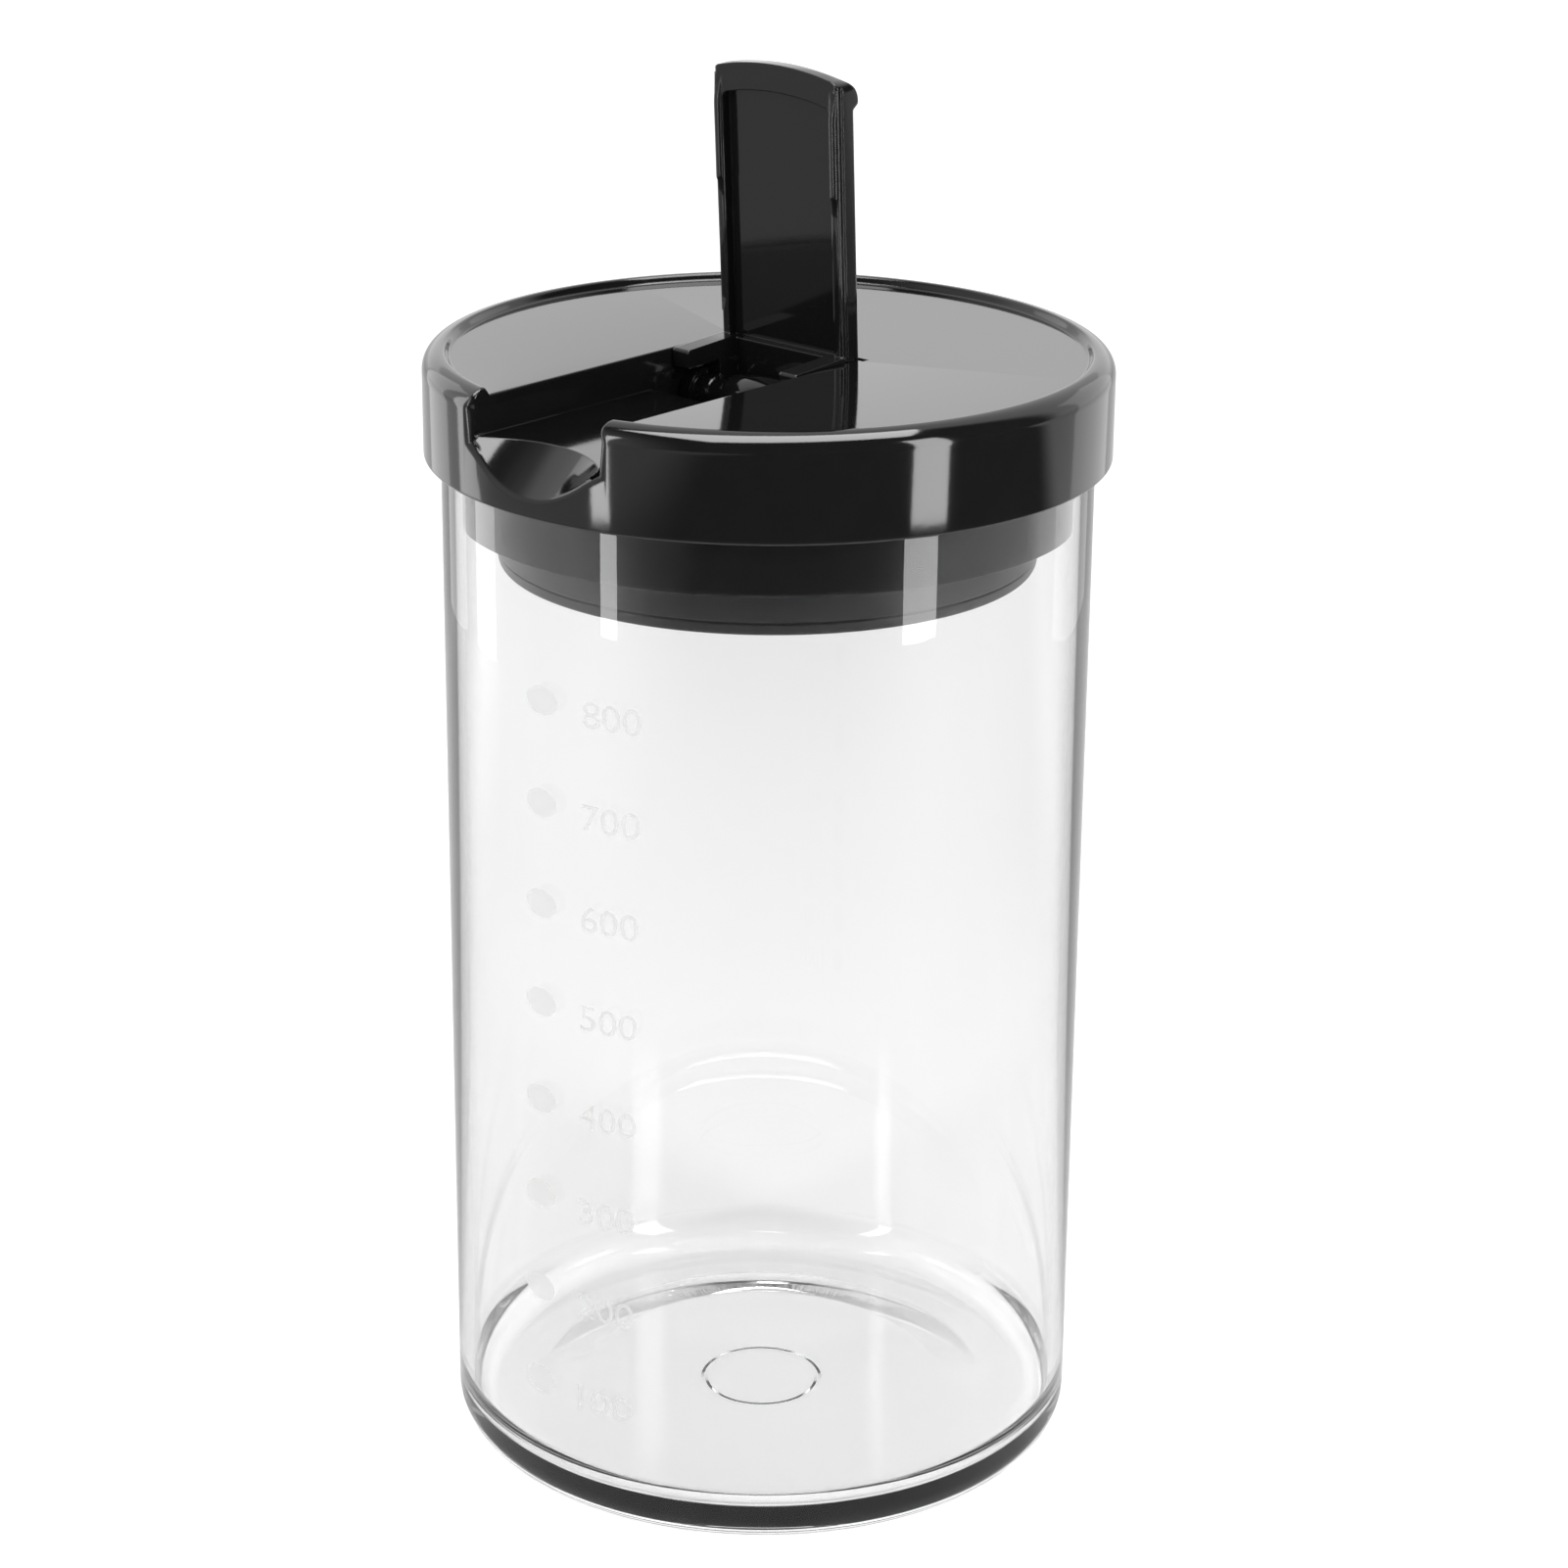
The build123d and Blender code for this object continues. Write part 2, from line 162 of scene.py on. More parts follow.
# Seal and plug
SEAL_R = 45.2
SEAL_BOTTOM = 146.3
FLANGE_R = 47.2
FLANGE_LOW = 156.65
FLANGE_TOP = 157.6
FLANGE_ROOT = 0.2
SEAL_EDGE = 0.3
SEAL_FOOT_EDGE = 0.5
PLUG_R = 40.3
PLUG_BOTTOM = 139.1
PLUG_FLOOR_T = 1.8
PLUG_TUBE_R = 38.8
PLUG_TUBE_IN = 37.0
PLUG_TOP = 152.0
PLUG_SHAFT_T = 1.8
PLUG_SHAFT_RAISE = 0.5
PLUG_STEP = 0.3
PLUG_EDGE = 0.6
PLUG_GROOVE_Z = 1.6
PLUG_GROOVE_H = 0.4
PLUG_GROOVE_EDGE = 0.15
PLUG_TUBE_EDGE = 0.3
PLUG_TAPER_TOP = 1.6
PLUG_TAPER_END = 3.1
PLUG_TAPER_ROUND = 0.5
PLUG_FLOOR_ROUND = 0.8
SEAL_GROOVE_IN = 42.4
SEAL_GROOVE_OUT = 43.8
SEAL_GROOVE_TOP = 155.0
SEAL_GROOVE_ROUND = 0.4
SEAL_NECK_GAP = 0.1
SEAL_TUBE_GAP = 0.2

# Flap
PIVOT_Y = -1.2
PIVOT_Z = 161.6
OPEN_ANGLE = 87.0
FLAP_HALF = 11.85
FLAP_T = 3.2
FLAP_SKIN = 1.7
LIP_SIDE = 1.7
LIP_TIP = 4.0
KEEL = 0.6
KEEL_TIP = -47.6
KEEL_FULL = -43.0
KEEL_SNAP = -32.6
KEEL_END = -12.5
KEEL_INSET = 0.1
KEEL_ROOT = 0.6
KEEL_SOFT = 0.45
KEEL_STEPS = 12
KEEL_TAIL_STEPS = 8
KEEL_ARC_STEPS = 6
SNAP_L = 0.7
SNAP_MIDDLE = 0.95
SNAP_FOOT = 0.5
SIDE_STEP = 0.25
SIDE_STEP_HIGH = 0.9
SIDE_STEP_RISE = 0.2
SIDE_STEP_ROUND = 0.1
FLAP_EDGE = 0.5
PLAN_EXTRA = 0.01
TIP_CORNER = 1.6
TIP_INSET = 0.03
TIP_STEPS = 24
TIP_ARC_SHARE = 0.75
RECESS_CORNER = 1.2
RECESS_REAR_GAP = 0.3
DRUM_R = 7.4
DRUM_IN = 4.9
DRUM_FRONT = 0.3
BARREL_R = 4.1
BARREL_END_R = 3.5
BARREL_HALF = 6.9
BARREL_ROUND = 2.2
BARREL_SWELL = 0.68
BARREL_STEPS = 8
SHAFT_R = 2.6
CHEEK_IN = 8.8
LUG_FRONT = -9.1
LUG_T = 2.8
LUG_DROP = 13.6
LUG_ROUND = 0.5
LUG_ROOT = 0.5
CHEEK_INSET = 0.02
WEB_BOTTOM = 0.6
WEB_ROOT = 0.45
WEB_OVERLAP = 0.5
FILL_OVERLAP = 0.4
HUB_R = 2.8
TRUNNION_R = 3.5
TRUNNION_END = 13.45
RUNNING_GAP = 0.05
RECESS_X = 13.6
SLOT_Y = -5.2
SLOT_Z = 164.1
SLOT_R = 2.2
SLOT_EDGE = 0.5
SLOT_FRONT_STEPS = 32
SLOT_REAR_STEPS = 64
SLOT_EDGE_STEPS = 6

# Camera, fitted to the photograph's rim, foot, walls and marks
CAMERA_AZIMUTH = 41.7
CAMERA_DISTANCE = 569.431
CAMERA_HEIGHT = 311.241
CAMERA_PITCH = 20.101
CAMERA_YAW = 0.275
CAMERA_ROLL = 0.538
CAMERA_LENS = 92.89
SENSOR = 36.0
CLIP_START = 0.01
CLIP_END = 50

# Shading: lengths in metres, noise scales per metre
EDGE_ROUND = 0.0004
EDGE_SAMPLES = 6
GRAIN_SCALE = 900.0
GRAIN_DEPTH = 0.0002
GRAIN_STRENGTH = 0.04
CLOUD_SCALE = 60.0
CLOUD_DETAIL = 3.0
DUST_SCALE = 240.0
DUST_DETAIL = 4.0
DUST_DARK = 0.85
DUST_PALE = 1.15
PLASTIC_IOR = 1.45
GLOSS_BLACK = (0.0085, 0.0085, 0.009)
SATIN_BLACK = (0.045, 0.045, 0.046)
SILICONE_BLACK = (0.009, 0.009, 0.0095)
GLASS_IOR = 1.47
GLASS_ROUGH = 0.012
GLASS_CLOUD_SCALE = 30.0
PRINT_GREY = 0.88
PRINT_ALPHA = 0.5
PRINT_ROUGH = (0.45, 0.6)
PRINT_GRAIN_SCALE = 500.0

# Studio, in metres; a pair is where a change starts and ends, along a direction or over the floor
WORLD_LIGHT = 0.7
ROOM_DARK = 0.04
ROOM_GREY = 0.65
DARK_REACH = (0.15, 0.35)
ROOM_IN_GLOSS = (-0.35, -0.15)
ROOM_SIDE = (0.4, 0.8)
ROOM_IN_GLASS = (0.2, 0.6)
FLOOR_SIZE = 6.0
FLOOR_COLOUR = 0.92
FLOOR_ROUGH = 0.9
FLOOR_IN_GLOSS = (-0.17, -0.06)
FLOOR_SIDE = (0.22, 0.48)
FLOOR_IN_GLASS = (0.12, 0.3)
FLOOR_GLOW = 0.1
FLOOR_WHITE = 0.4
# Painted light under the jar: a glow seen only through the glass that lifts the jar's shadow on the floor,
# fading out between these two distances from the axis
FLOOR_UNDER_PAINTED_LIGHT = 0.24
PAINTED_LIGHT_FADE = (0.04, 0.06)
QUARTER_TURN = 90
BOX_HEIGHT = 0.4
AIM_Z = 0.2
LID_AIM_Z = 0.232


def rounded(corners, steps=ARC_STEPS):
    """The points of a closed outline from (u, v, radius) corners."""
    points = []
    count = len(corners)
    for i in range(count):
        u, v, radius = corners[i]
        here = Vector((u, v))
        if radius == 0:
            points.append(here)
            continue
        back = (Vector(corners[i - 1][:2]) - here).normalized()
        on = (Vector(corners[(i + 1) % count][:2]) - here).normalized()
        half = back.angle(on) / 2
        centre = here + (back + on).normalized() * (radius / math.sin(half))
        first = here + back * (radius / math.tan(half)) - centre
        last = here + on * (radius / math.tan(half)) - centre
        sweep = first.angle_signed(last)
        for k in range(steps + 1):
            turn = Matrix.Rotation(-sweep * k / steps, 2)
            points.append(centre + turn @ first)
    return points


def mesh_object(name, vertices, faces):
    """A new object from points in millimetres, with its faces turned outwards."""
    mesh = bpy.data.meshes.new(name)
    mesh.from_pydata([tuple(v) for v in vertices], [], faces)
    bm = bmesh.new()
    bm.from_mesh(mesh)
    bmesh.ops.remove_doubles(bm, verts=bm.verts, dist=WELD)
    bmesh.ops.recalc_face_normals(bm, faces=bm.faces)
    bm.to_mesh(mesh)
    bm.free()
    obj = bpy.data.objects.new(name, mesh)
    bpy.context.scene.collection.objects.link(obj)
    return obj


def lathe(name, corners, steps=STEPS, arc_steps=ARC_STEPS):
    """A closed outline in (radius, height) turned about Z."""
    outline = rounded(corners, arc_steps)
    count = len(outline)
    vertices = []
    for k in range(steps):
        a = 2 * math.pi * k / steps
        vertices += [(p.x * math.cos(a), p.x * math.sin(a), p.y) for p in outline]
    faces = []
    for k in range(steps):
        nxt = (k + 1) % steps
        for i in range(count):
            j = (i + 1) % count
            on_axis = [outline[i].x < ON_AXIS, outline[j].x < ON_AXIS]
            if all(on_axis):
                continue
            quad = [k * count + i, k * count + j, nxt * count + j, nxt * count + i]
            if on_axis[0]:
                quad = [k * count + i, k * count + j, nxt * count + j]
            if on_axis[1]:
                quad = [k * count + i, k * count + j, nxt * count + i]
            faces.append(quad)
    return mesh_object(name, vertices, faces)


def prism(name, points, start, end, axis="Z"):
    """A flat outline drawn along an axis: (x, y) for Z and (y, z) for X."""
    place = {
        "Z": lambda p, t: (p[0], p[1], t),
        "X": lambda p, t: (t, p[0], p[1]),
    }[axis]
    count = len(points)
    vertices = [place(p, start) for p in points] + [place(p, end) for p in points]
    faces = [list(range(count)), list(range(2 * count - 1, count - 1, -1))]
    for i in range(count):
        j = (i + 1) % count
        faces.append([i, j, count + j, count + i])
    return mesh_object(name, vertices, faces)


def loft(name, rings):
    """A closed skin through equal rings of points, with flat ends."""
    count = len(rings[0])
    vertices = [v for ring in rings for v in ring]
    faces = [list(range(count)), list(range((len(rings) - 1) * count, len(rings) * count))]
    for s in range(len(rings) - 1):
        for i in range(count):
            j = (i + 1) % count
            faces.append([s * count + i, s * count + j, (s + 1) * count + j, (s + 1) * count + i])
    return mesh_object(name, vertices, faces)


def block(low, high):
    """A box between two corners."""
    outline = [(low[0], low[1]), (high[0], low[1]), (high[0], high[1]), (low[0], high[1])]
    return prism("block", outline, low[2], high[2])


def rod_x(radius, x0, x1):
    """A cylinder along X on the flap's pivot."""
    points = []
    for k in range(ROD_STEPS):
        a = 2 * math.pi * k / ROD_STEPS
        points.append((PIVOT_Y + radius * math.cos(a), PIVOT_Z + radius * math.sin(a)))
    return prism("rod", points, x0, x1, "X")


def combine(obj, other, operation):
    """Applies a boolean of two closed meshes and removes the second."""
    modifier = obj.modifiers.new("combine", "BOOLEAN")
    modifier.object = other
    modifier.operation = operation
    modifier.solver = "EXACT"
    graph = bpy.context.evaluated_depsgraph_get()
    mesh = bpy.data.meshes.new_from_object(obj.evaluated_get(graph))
    obj.modifiers.clear()
    obj.data = mesh
    bpy.data.objects.remove(other)
    return obj


def cut(obj, *others):
    """Takes the other meshes out of the first."""
    for other in others:
        combine(obj, other, "DIFFERENCE")
    return obj


def join(obj, *others):
    """Adds the other meshes to the first."""
    for other in others:
        combine(obj, other, "UNION")
    return obj


def meet(obj, *others):
    """Keeps what the first mesh shares with all the others."""
    for other in others:
        combine(obj, other, "INTERSECT")
    return obj


def finish_piece(obj, name, material, body, node, smooth_angle=SMOOTH_ANGLE):
    """Names a finished mesh, turns it into metres and hangs it on its body in place of the CAD node."""
    obj.name = name
    obj.data.name = name
    bm = bmesh.new()
    bm.from_mesh(obj.data)
    bmesh.ops.remove_doubles(bm, verts=bm.verts, dist=FINISH_WELD)
    bmesh.ops.dissolve_degenerate(bm, edges=bm.edges, dist=FINISH_WELD)
    bm.to_mesh(obj.data)
    bm.free()
    obj.data.transform(Matrix.Scale(MM, 4))
    for polygon in obj.data.polygons:
        polygon.use_smooth = True
    obj.data.set_sharp_from_angle(angle=math.radians(smooth_angle))
    obj.data.materials.clear()
    obj.data.materials.append(material)
    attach(obj, body)
    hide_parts(node)
    return obj


def new_material(name):
    """A node material with a Principled shader; returns it with its node tree and shader."""
    material = bpy.data.materials.new(name)
    material.use_nodes = True
    tree = material.node_tree
    return material, tree, tree.nodes["Principled BSDF"]


def noise(tree, scale, detail=2.0):
    """Noise in object space; returns its factor output."""
    place = tree.nodes.new("ShaderNodeTexCoord")
    texture = tree.nodes.new("ShaderNodeTexNoise")
    texture.inputs["Scale"].default_value = scale
    texture.inputs["Detail"].default_value = detail
    tree.links.new(place.outputs["Object"], texture.inputs["Vector"])
    return texture.outputs["Fac"]


def map_range(tree, value, low, high):
    """Maps a 0 to 1 output on to a range."""
    node = tree.nodes.new("ShaderNodeMapRange")
    node.inputs["To Min"].default_value = low
    node.inputs["To Max"].default_value = high
    tree.links.new(value, node.inputs["Value"])
    return node.outputs["Result"]


def add_bump(tree, shader, height, strength):
    """Fine relief from a height, over edges that shade as rounded ones."""
    rounding = tree.nodes.new("ShaderNodeBevel")
    rounding.samples = EDGE_SAMPLES
    rounding.inputs["Radius"].default_value = EDGE_ROUND
    bump = tree.nodes.new("ShaderNodeBump")
    tree.links.new(rounding.outputs["Normal"], bump.inputs["Normal"])
    bump.inputs["Strength"].default_value = strength
    bump.inputs["Distance"].default_value = GRAIN_DEPTH
    tree.links.new(height, bump.inputs["Height"])
    tree.links.new(bump.outputs["Normal"], shader.inputs["Normal"])


def plastic(name, colour, rough, ior=PLASTIC_IOR, grain=GRAIN_SCALE, strength=GRAIN_STRENGTH):
    """Moulded plastic: a slow change of roughness, faint grain and a little dust in the colour."""
    material, tree, shader = new_material(name)
    slow = noise(tree, CLOUD_SCALE, CLOUD_DETAIL)
    tree.links.new(map_range(tree, slow, *rough), shader.inputs["Roughness"])
    blend = tree.nodes.new("ShaderNodeMix")
    blend.data_type = "RGBA"
    blend.inputs["A"].default_value = (*[c * DUST_DARK for c in colour], 1)
    blend.inputs["B"].default_value = (*[c * DUST_PALE for c in colour], 1)
    tree.links.new(noise(tree, DUST_SCALE, DUST_DETAIL), blend.inputs["Factor"])
    tree.links.new(blend.outputs["Result"], shader.inputs["Base Color"])
    shader.inputs["IOR"].default_value = ior
    add_bump(tree, shader, noise(tree, grain), strength)
    return material


def glass_material():
    """Clear glass whose polish changes very slightly from place to place."""
    material, tree, shader = new_material("clear_glass")
    shader.inputs["Base Color"].default_value = (1, 1, 1, 1)
    shader.inputs["Transmission Weight"].default_value = 1.0
    shader.inputs["IOR"].default_value = GLASS_IOR
    polish = map_range(tree, noise(tree, GLASS_CLOUD_SCALE), 0.0, GLASS_ROUGH)
    tree.links.new(polish, shader.inputs["Roughness"])
    return material


def print_material():
    """A thin, half see-through pale print."""
    material, tree, shader = new_material("scale_print")
    shader.inputs["Base Color"].default_value = (PRINT_GREY, PRINT_GREY, PRINT_GREY, 1)
    grain = map_range(tree, noise(tree, PRINT_GRAIN_SCALE), *PRINT_ROUGH)
    tree.links.new(grain, shader.inputs["Roughness"])
    shader.inputs["Alpha"].default_value = PRINT_ALPHA
    return material


def build_glass(material):
    inner = GLASS_R - GLASS_WALL
    rim = (GLASS_WALL - RIM_FLAT) / 2
    body = lathe("glass", [
        (0, PUNT_DEPTH, 0),
        (MOULD_RING_R - MOULD_RING_HALF, PUNT_DEPTH, MOULD_RING_ROUND),
        (MOULD_RING_R, PUNT_DEPTH + MOULD_RING_H, MOULD_RING_ROUND),
        (MOULD_RING_R + MOULD_RING_HALF, PUNT_DEPTH, MOULD_RING_ROUND),
        (PUNT_R - PUNT_SLOPE, PUNT_DEPTH, PUNT_ROUND),
        (PUNT_R + PUNT_SLOPE / 2, 0, PUNT_ROUND),
        (GLASS_R, 0, FOOT_FILLET),
        (GLASS_R, GLASS_H, rim),
        (inner, GLASS_H, rim),
        (inner, GLASS_BASE, INNER_FILLET),
        (0, GLASS_BASE, 0),
    ], arc_steps=GLASS_ARC_STEPS)
    return finish_piece(
        body, "jar_glass", material, "jar", "glass_jar", smooth_angle=GLASS_SMOOTH_ANGLE
    )


def lid_profile():
    """The lid's outer outline in (radius, height, corner radius), with the raised rim round its top."""
    return [
        (0, LID_BOTTOM, 0),
        (LID_R, LID_BOTTOM, LID_EDGE),
        (LID_R, CREST_Z, SHOULDER),
        (BEAD_R, CREST_Z, BEAD_ROUND),
        (BEAD_FOOT_R, PLATE_Z, BEAD_FOOT_ROUND),
        (0, PLATE_Z, 0),
    ]


def lid_outside():
    """The lid's outer form, solid through."""
    return lathe("lid_outside", lid_profile(), arc_steps=LID_ARC_STEPS)


def channel_tool():
    """What the channel and the spout's mouth remove above the channel floor."""
    return block(
        (-CHANNEL_HALF, -LID_R - 3 * PAST, CHANNEL_FLOOR),
        (CHANNEL_HALF, HOLE_FRONT, CREST_Z + 3 * PAST),
    )


def scoop_frame():
    """A point on the scoop's axis, the way down the scoop and the way up from its bottom line."""
    slope = math.radians(SCOOP_TILT)
    up = Vector((0, -math.sin(slope), math.cos(slope)))
    down = Vector((0, -math.cos(slope), -math.sin(slope)))
    return Vector((0, SCOOP_START, CHANNEL_FLOOR)) + up * SCOOP_R, down, up


def scoop_tool():
    """A tilted cylinder that hollows the spout from the channel floor down to its lip."""
    axis_point, down, up = scoop_frame()
    rings = []
    for along in (-SCOOP_REACH, SCOOP_REACH):
        ring = []
        for k in range(SCOOP_STEPS):
            a = 2 * math.pi * k / SCOOP_STEPS
            side = Vector((math.cos(a), 0, 0)) * SCOOP_R
            ring.append(axis_point + down * along + side + up * (SCOOP_R * math.sin(a)))
        rings.append(ring)
    drum = loft("scoop", rings)
    low = (-CHANNEL_HALF, -LID_R - 3 * PAST, SPOUT_LIP - 3 * PAST)
    high = (CHANNEL_HALF, SCOOP_START + 1.5 * PAST, CHANNEL_FLOOR + 4 * PAST)
    return meet(drum, block(low, high))


def fillet_section(point, wall, skin, radius):
    """What a fillet removes from the edge between two faces, as a ring, given their outward normals."""
    spread = wall.angle(skin)
    centre = point - (wall + skin) * (radius / (1 + wall.dot(skin)))
    arc = [centre + wall.slerp(skin, k / FILLET_STEPS) * radius for k in range(FILLET_STEPS + 1)]
    corner = point + (wall + skin) * (FILLET_CLEAR / math.cos(spread / 2) ** 2)
    return [arc[0] + wall * FILLET_CLEAR] + arc + [arc[-1] + skin * FILLET_CLEAR, corner]


def wall_edge(side):
    """Fillet sections along a channel wall's edge: up the skirt, over the rim and along the plate."""
    outline = rounded(lid_profile(), EDGE_ARC_STEPS)
    wall = Vector((-side, 0, 0))
    low_y = -math.sqrt(LID_R ** 2 - CHANNEL_HALF ** 2)
    low_z = scoop_height(CHANNEL_HALF, low_y)
    samples = [(LID_R, low_z, 1.0, 0.0)]
    for i in range(1, len(outline) - 1):
        along = outline[i + 1] - outline[i - 1]
        out = Vector((along.y, -along.x)).normalized()
        if outline[i].y > low_z + EDGE_START:
            samples.append((outline[i].x, outline[i].y, out.x, out.y))
    sections = []
    for r, z, out_r, out_z in samples:
        y = -math.sqrt(r ** 2 - CHANNEL_HALF ** 2)
        skin = Vector((out_r * side * CHANNEL_HALF / r, out_r * y / r, out_z)).normalized()
        blend = min(1.0, max(0.0, (z - PLATE_Z + BLEND_DROP) / BLEND_SPAN))
        radius = NOTCH_ROUND + (NOSE_ROUND - NOTCH_ROUND) * blend * blend * (3 - 2 * blend)
        if r < BEAD_R:
            rise = (z - PLATE_Z) / (CREST_Z - PLATE_Z)
            radius = EDGE_SOFT + (NOSE_ROUND - EDGE_SOFT) * rise * rise * (3 - 2 * rise)
        sections.append(fillet_section(Vector((side * CHANNEL_HALF, y, z)), wall, skin, radius))
    flat = Vector((0, 0, 1))
    for y in EDGE_STATIONS:
        sections.append(fillet_section(Vector((side * CHANNEL_HALF, y, PLATE_Z)), wall, flat, EDGE_SOFT))
    return sections


def scoop_height(x, y):
    """Height of the scoop's surface at a place."""
    axis_point, _, up = scoop_frame()
    depth = math.sqrt(SCOOP_R ** 2 - x ** 2)
    return axis_point.z + (-depth - (y - axis_point.y) * up.y) / up.z


def spout_edge():
    """Fillet sections along the edge between the scoop and the skirt, from -X to +X."""
    _, _, up = scoop_frame()
    sections = []
    for k in range(SPOUT_EDGE_STEPS + 1):
        across = 2 * k / SPOUT_EDGE_STEPS - 1
        x = CHANNEL_HALF * across
        y = -math.sqrt(LID_R ** 2 - x ** 2)
        wall = (Vector((-x, 0, 0)) + up * math.sqrt(SCOOP_R ** 2 - x ** 2)).normalized()
        skin = Vector((x, y, 0)).normalized()
        near_end = abs(across) ** SPOUT_END_POWER
        radius = SPOUT_ROUND + (NOTCH_ROUND - SPOUT_ROUND) * near_end
        sections.append(fillet_section(Vector((x, y, scoop_height(x, y))), wall, skin, radius))
    return sections


def mitred(first, second, corner):
    """The shared ring of two runs of sections that meet at a corner."""
    one = (first[0][0] - first[1][0]).normalized()
    two = (second[0][0] - second[1][0]).normalized()
    skin = Vector((corner.x, corner.y, 0)).normalized()
    normal = (one - two).normalized()
    normal = (normal - skin * normal.dot(skin)).normalized()
    ring = []
    for a, b in zip(first[0], second[0]):
        from_first = a + one * ((corner - a).dot(normal) / one.dot(normal))
        from_second = b + two * ((corner - b).dot(normal) / two.dot(normal))
        ring.append((from_first + from_second) / 2)
    return ring


def notch_edge_tool():
    """One band that rounds the edge of the channel and spout, from one side of the hinge to the other."""
    left, right, spout = wall_edge(-1), wall_edge(1), spout_edge()
    low_y = -math.sqrt(LID_R ** 2 - CHANNEL_HALF ** 2)
    low_z = scoop_height(CHANNEL_HALF, low_y)
    left_corner = mitred(left, spout, Vector((-CHANNEL_HALF, low_y, low_z)))
    right_corner = mitred(right, spout[::-1], Vector((CHANNEL_HALF, low_y, low_z)))
    middle = spout[MITRE_SKIP:-MITRE_SKIP]
    return loft("notch_edge", left[:0:-1] + [left_corner] + middle + [right_corner] + right[1:])


def slot_outline(grow):
    """The trunnion slot's outline in (y, z), grown by a width: its round front end, then the bearing."""
    points = []
    lean = math.atan2(SLOT_Z - PIVOT_Z, SLOT_Y - PIVOT_Y)
    bearing = TRUNNION_R + RUNNING_GAP
    length = math.hypot(SLOT_Z - PIVOT_Z, SLOT_Y - PIVOT_Y)
    open_half = math.acos((bearing - SLOT_R) / length)
    for k in range(SLOT_FRONT_STEPS + 1):
        a = lean + open_half - 2 * open_half * k / SLOT_FRONT_STEPS
        r = SLOT_R + grow
        points.append((SLOT_Y + r * math.cos(a), SLOT_Z + r * math.sin(a)))
    for k in range(SLOT_REAR_STEPS + 1):
        a = lean - open_half - 2 * (math.pi - open_half) * k / SLOT_REAR_STEPS
        r = bearing + grow
        points.append((PIVOT_Y + r * math.cos(a), PIVOT_Z + r * math.sin(a)))
    return points


def trunnion_slot():
    """The slot in both channel walls that leads each trunnion back into its bearing, with rounded edges."""
    stations = [(-RECESS_X, 0.0)]
    for k in range(SLOT_EDGE_STEPS + 1):
        a = math.radians(90 * (1 - k / SLOT_EDGE_STEPS))
        depth = CHANNEL_HALF + SLOT_EDGE * (1 - math.cos(a))
        stations.append((-depth, SLOT_EDGE * (1 - math.sin(a))))
    stations += [(-x, grow) for x, grow in reversed(stations)]
    return loft("trunnion_slot", [[(x, y, z) for y, z in slot_outline(grow)] for x, grow in stations])


def build_lid(material):
    neck_in = NECK_WALL_R - NECK_WALL_T
    under = PLATE_Z - PLATE_T
    skirt_in = LID_R - SKIRT_T
    neck = lathe("neck", [
        (0, NECK_WALL_BOTTOM, 0),
        (NECK_WALL_R, NECK_WALL_BOTTOM, NECK_EDGE),
        (NECK_WALL_R, under, 0),
        (0, under, 0),
    ])
    inner_hollow = lathe("inner_hollow", [
        (0, NECK_WALL_BOTTOM - PAST, 0),
        (neck_in, NECK_WALL_BOTTOM - PAST, 0),
        (neck_in, under, HOLLOW_ROUND),
        (0, under, 0),
    ])
    outer_hollow = lathe("outer_hollow", [
        (NECK_WALL_R, LID_BOTTOM - PAST, 0),
        (NECK_WALL_R, under, HOLLOW_ROUND),
        (SEAT_RIB_IN, under, HOLLOW_ROUND),
        (SEAT_RIB_IN, FLANGE_TOP + RUNNING_GAP, 0),
        (SEAT_RIB_OUT, FLANGE_TOP + RUNNING_GAP, 0),
        (SEAT_RIB_OUT, under - EAVES_DROP, EAVES_ROUND),
        (skirt_in, under - EAVES_DROP, EAVES_ROUND),
        (skirt_in, LID_BOTTOM - PAST, 0),
    ])
    outer_wall = RECESS_X + WALL
    duct = block(
        (-outer_wall, HOLE_FRONT - WALL, DUCT_BOTTOM),
        (outer_wall, HOLE_REAR + WALL, under + PAST),
    )
    trough = block(
        (-CHANNEL_HALF - WALL, -LID_R - PAST, CHANNEL_FLOOR - WALL),
        (CHANNEL_HALF + WALL, HOLE_FRONT, under + 2 * PAST),
    )
    spout_half = outer_wall + SPOUT_WALL_EXTRA
    spout_block = block(
        (-spout_half, -LID_R - 2 * PAST, FLANGE_TOP + RUNNING_GAP),
        (spout_half, SCOOP_START + SPOUT_WALL, under + 3 * PAST),
    )
    keepers = join(duct, trough, spout_block)
    hollows = cut(join(inner_hollow, outer_hollow), keepers)
    hole = block(
        (-CHANNEL_HALF, HOLE_FRONT, DUCT_BOTTOM - PAST),
        (CHANNEL_HALF, HOLE_REAR, CREST_Z + PAST),
    )
    body = join(lid_outside(), neck)
    cut(body, hollows, channel_tool(), scoop_tool(), hole, trunnion_slot(), notch_edge_tool())
    slot_side = CHANNEL_HALF + PRY_SLOT_W
    slot_start = CHANNEL_HALF - PRY_SLOT_OVERLAP
    for near, far in ((-slot_side, -slot_start), (slot_start, slot_side)):
        low = (near, HOLE_REAR - PRY_SLOT_L, PLATE_Z - PRY_SLOT_DEPTH)
        cut(body, block(low, (far, HOLE_REAR, PLATE_Z + PAST)))
    return finish_piece(body, "lid_shell", material, "lid", "lid_cap")


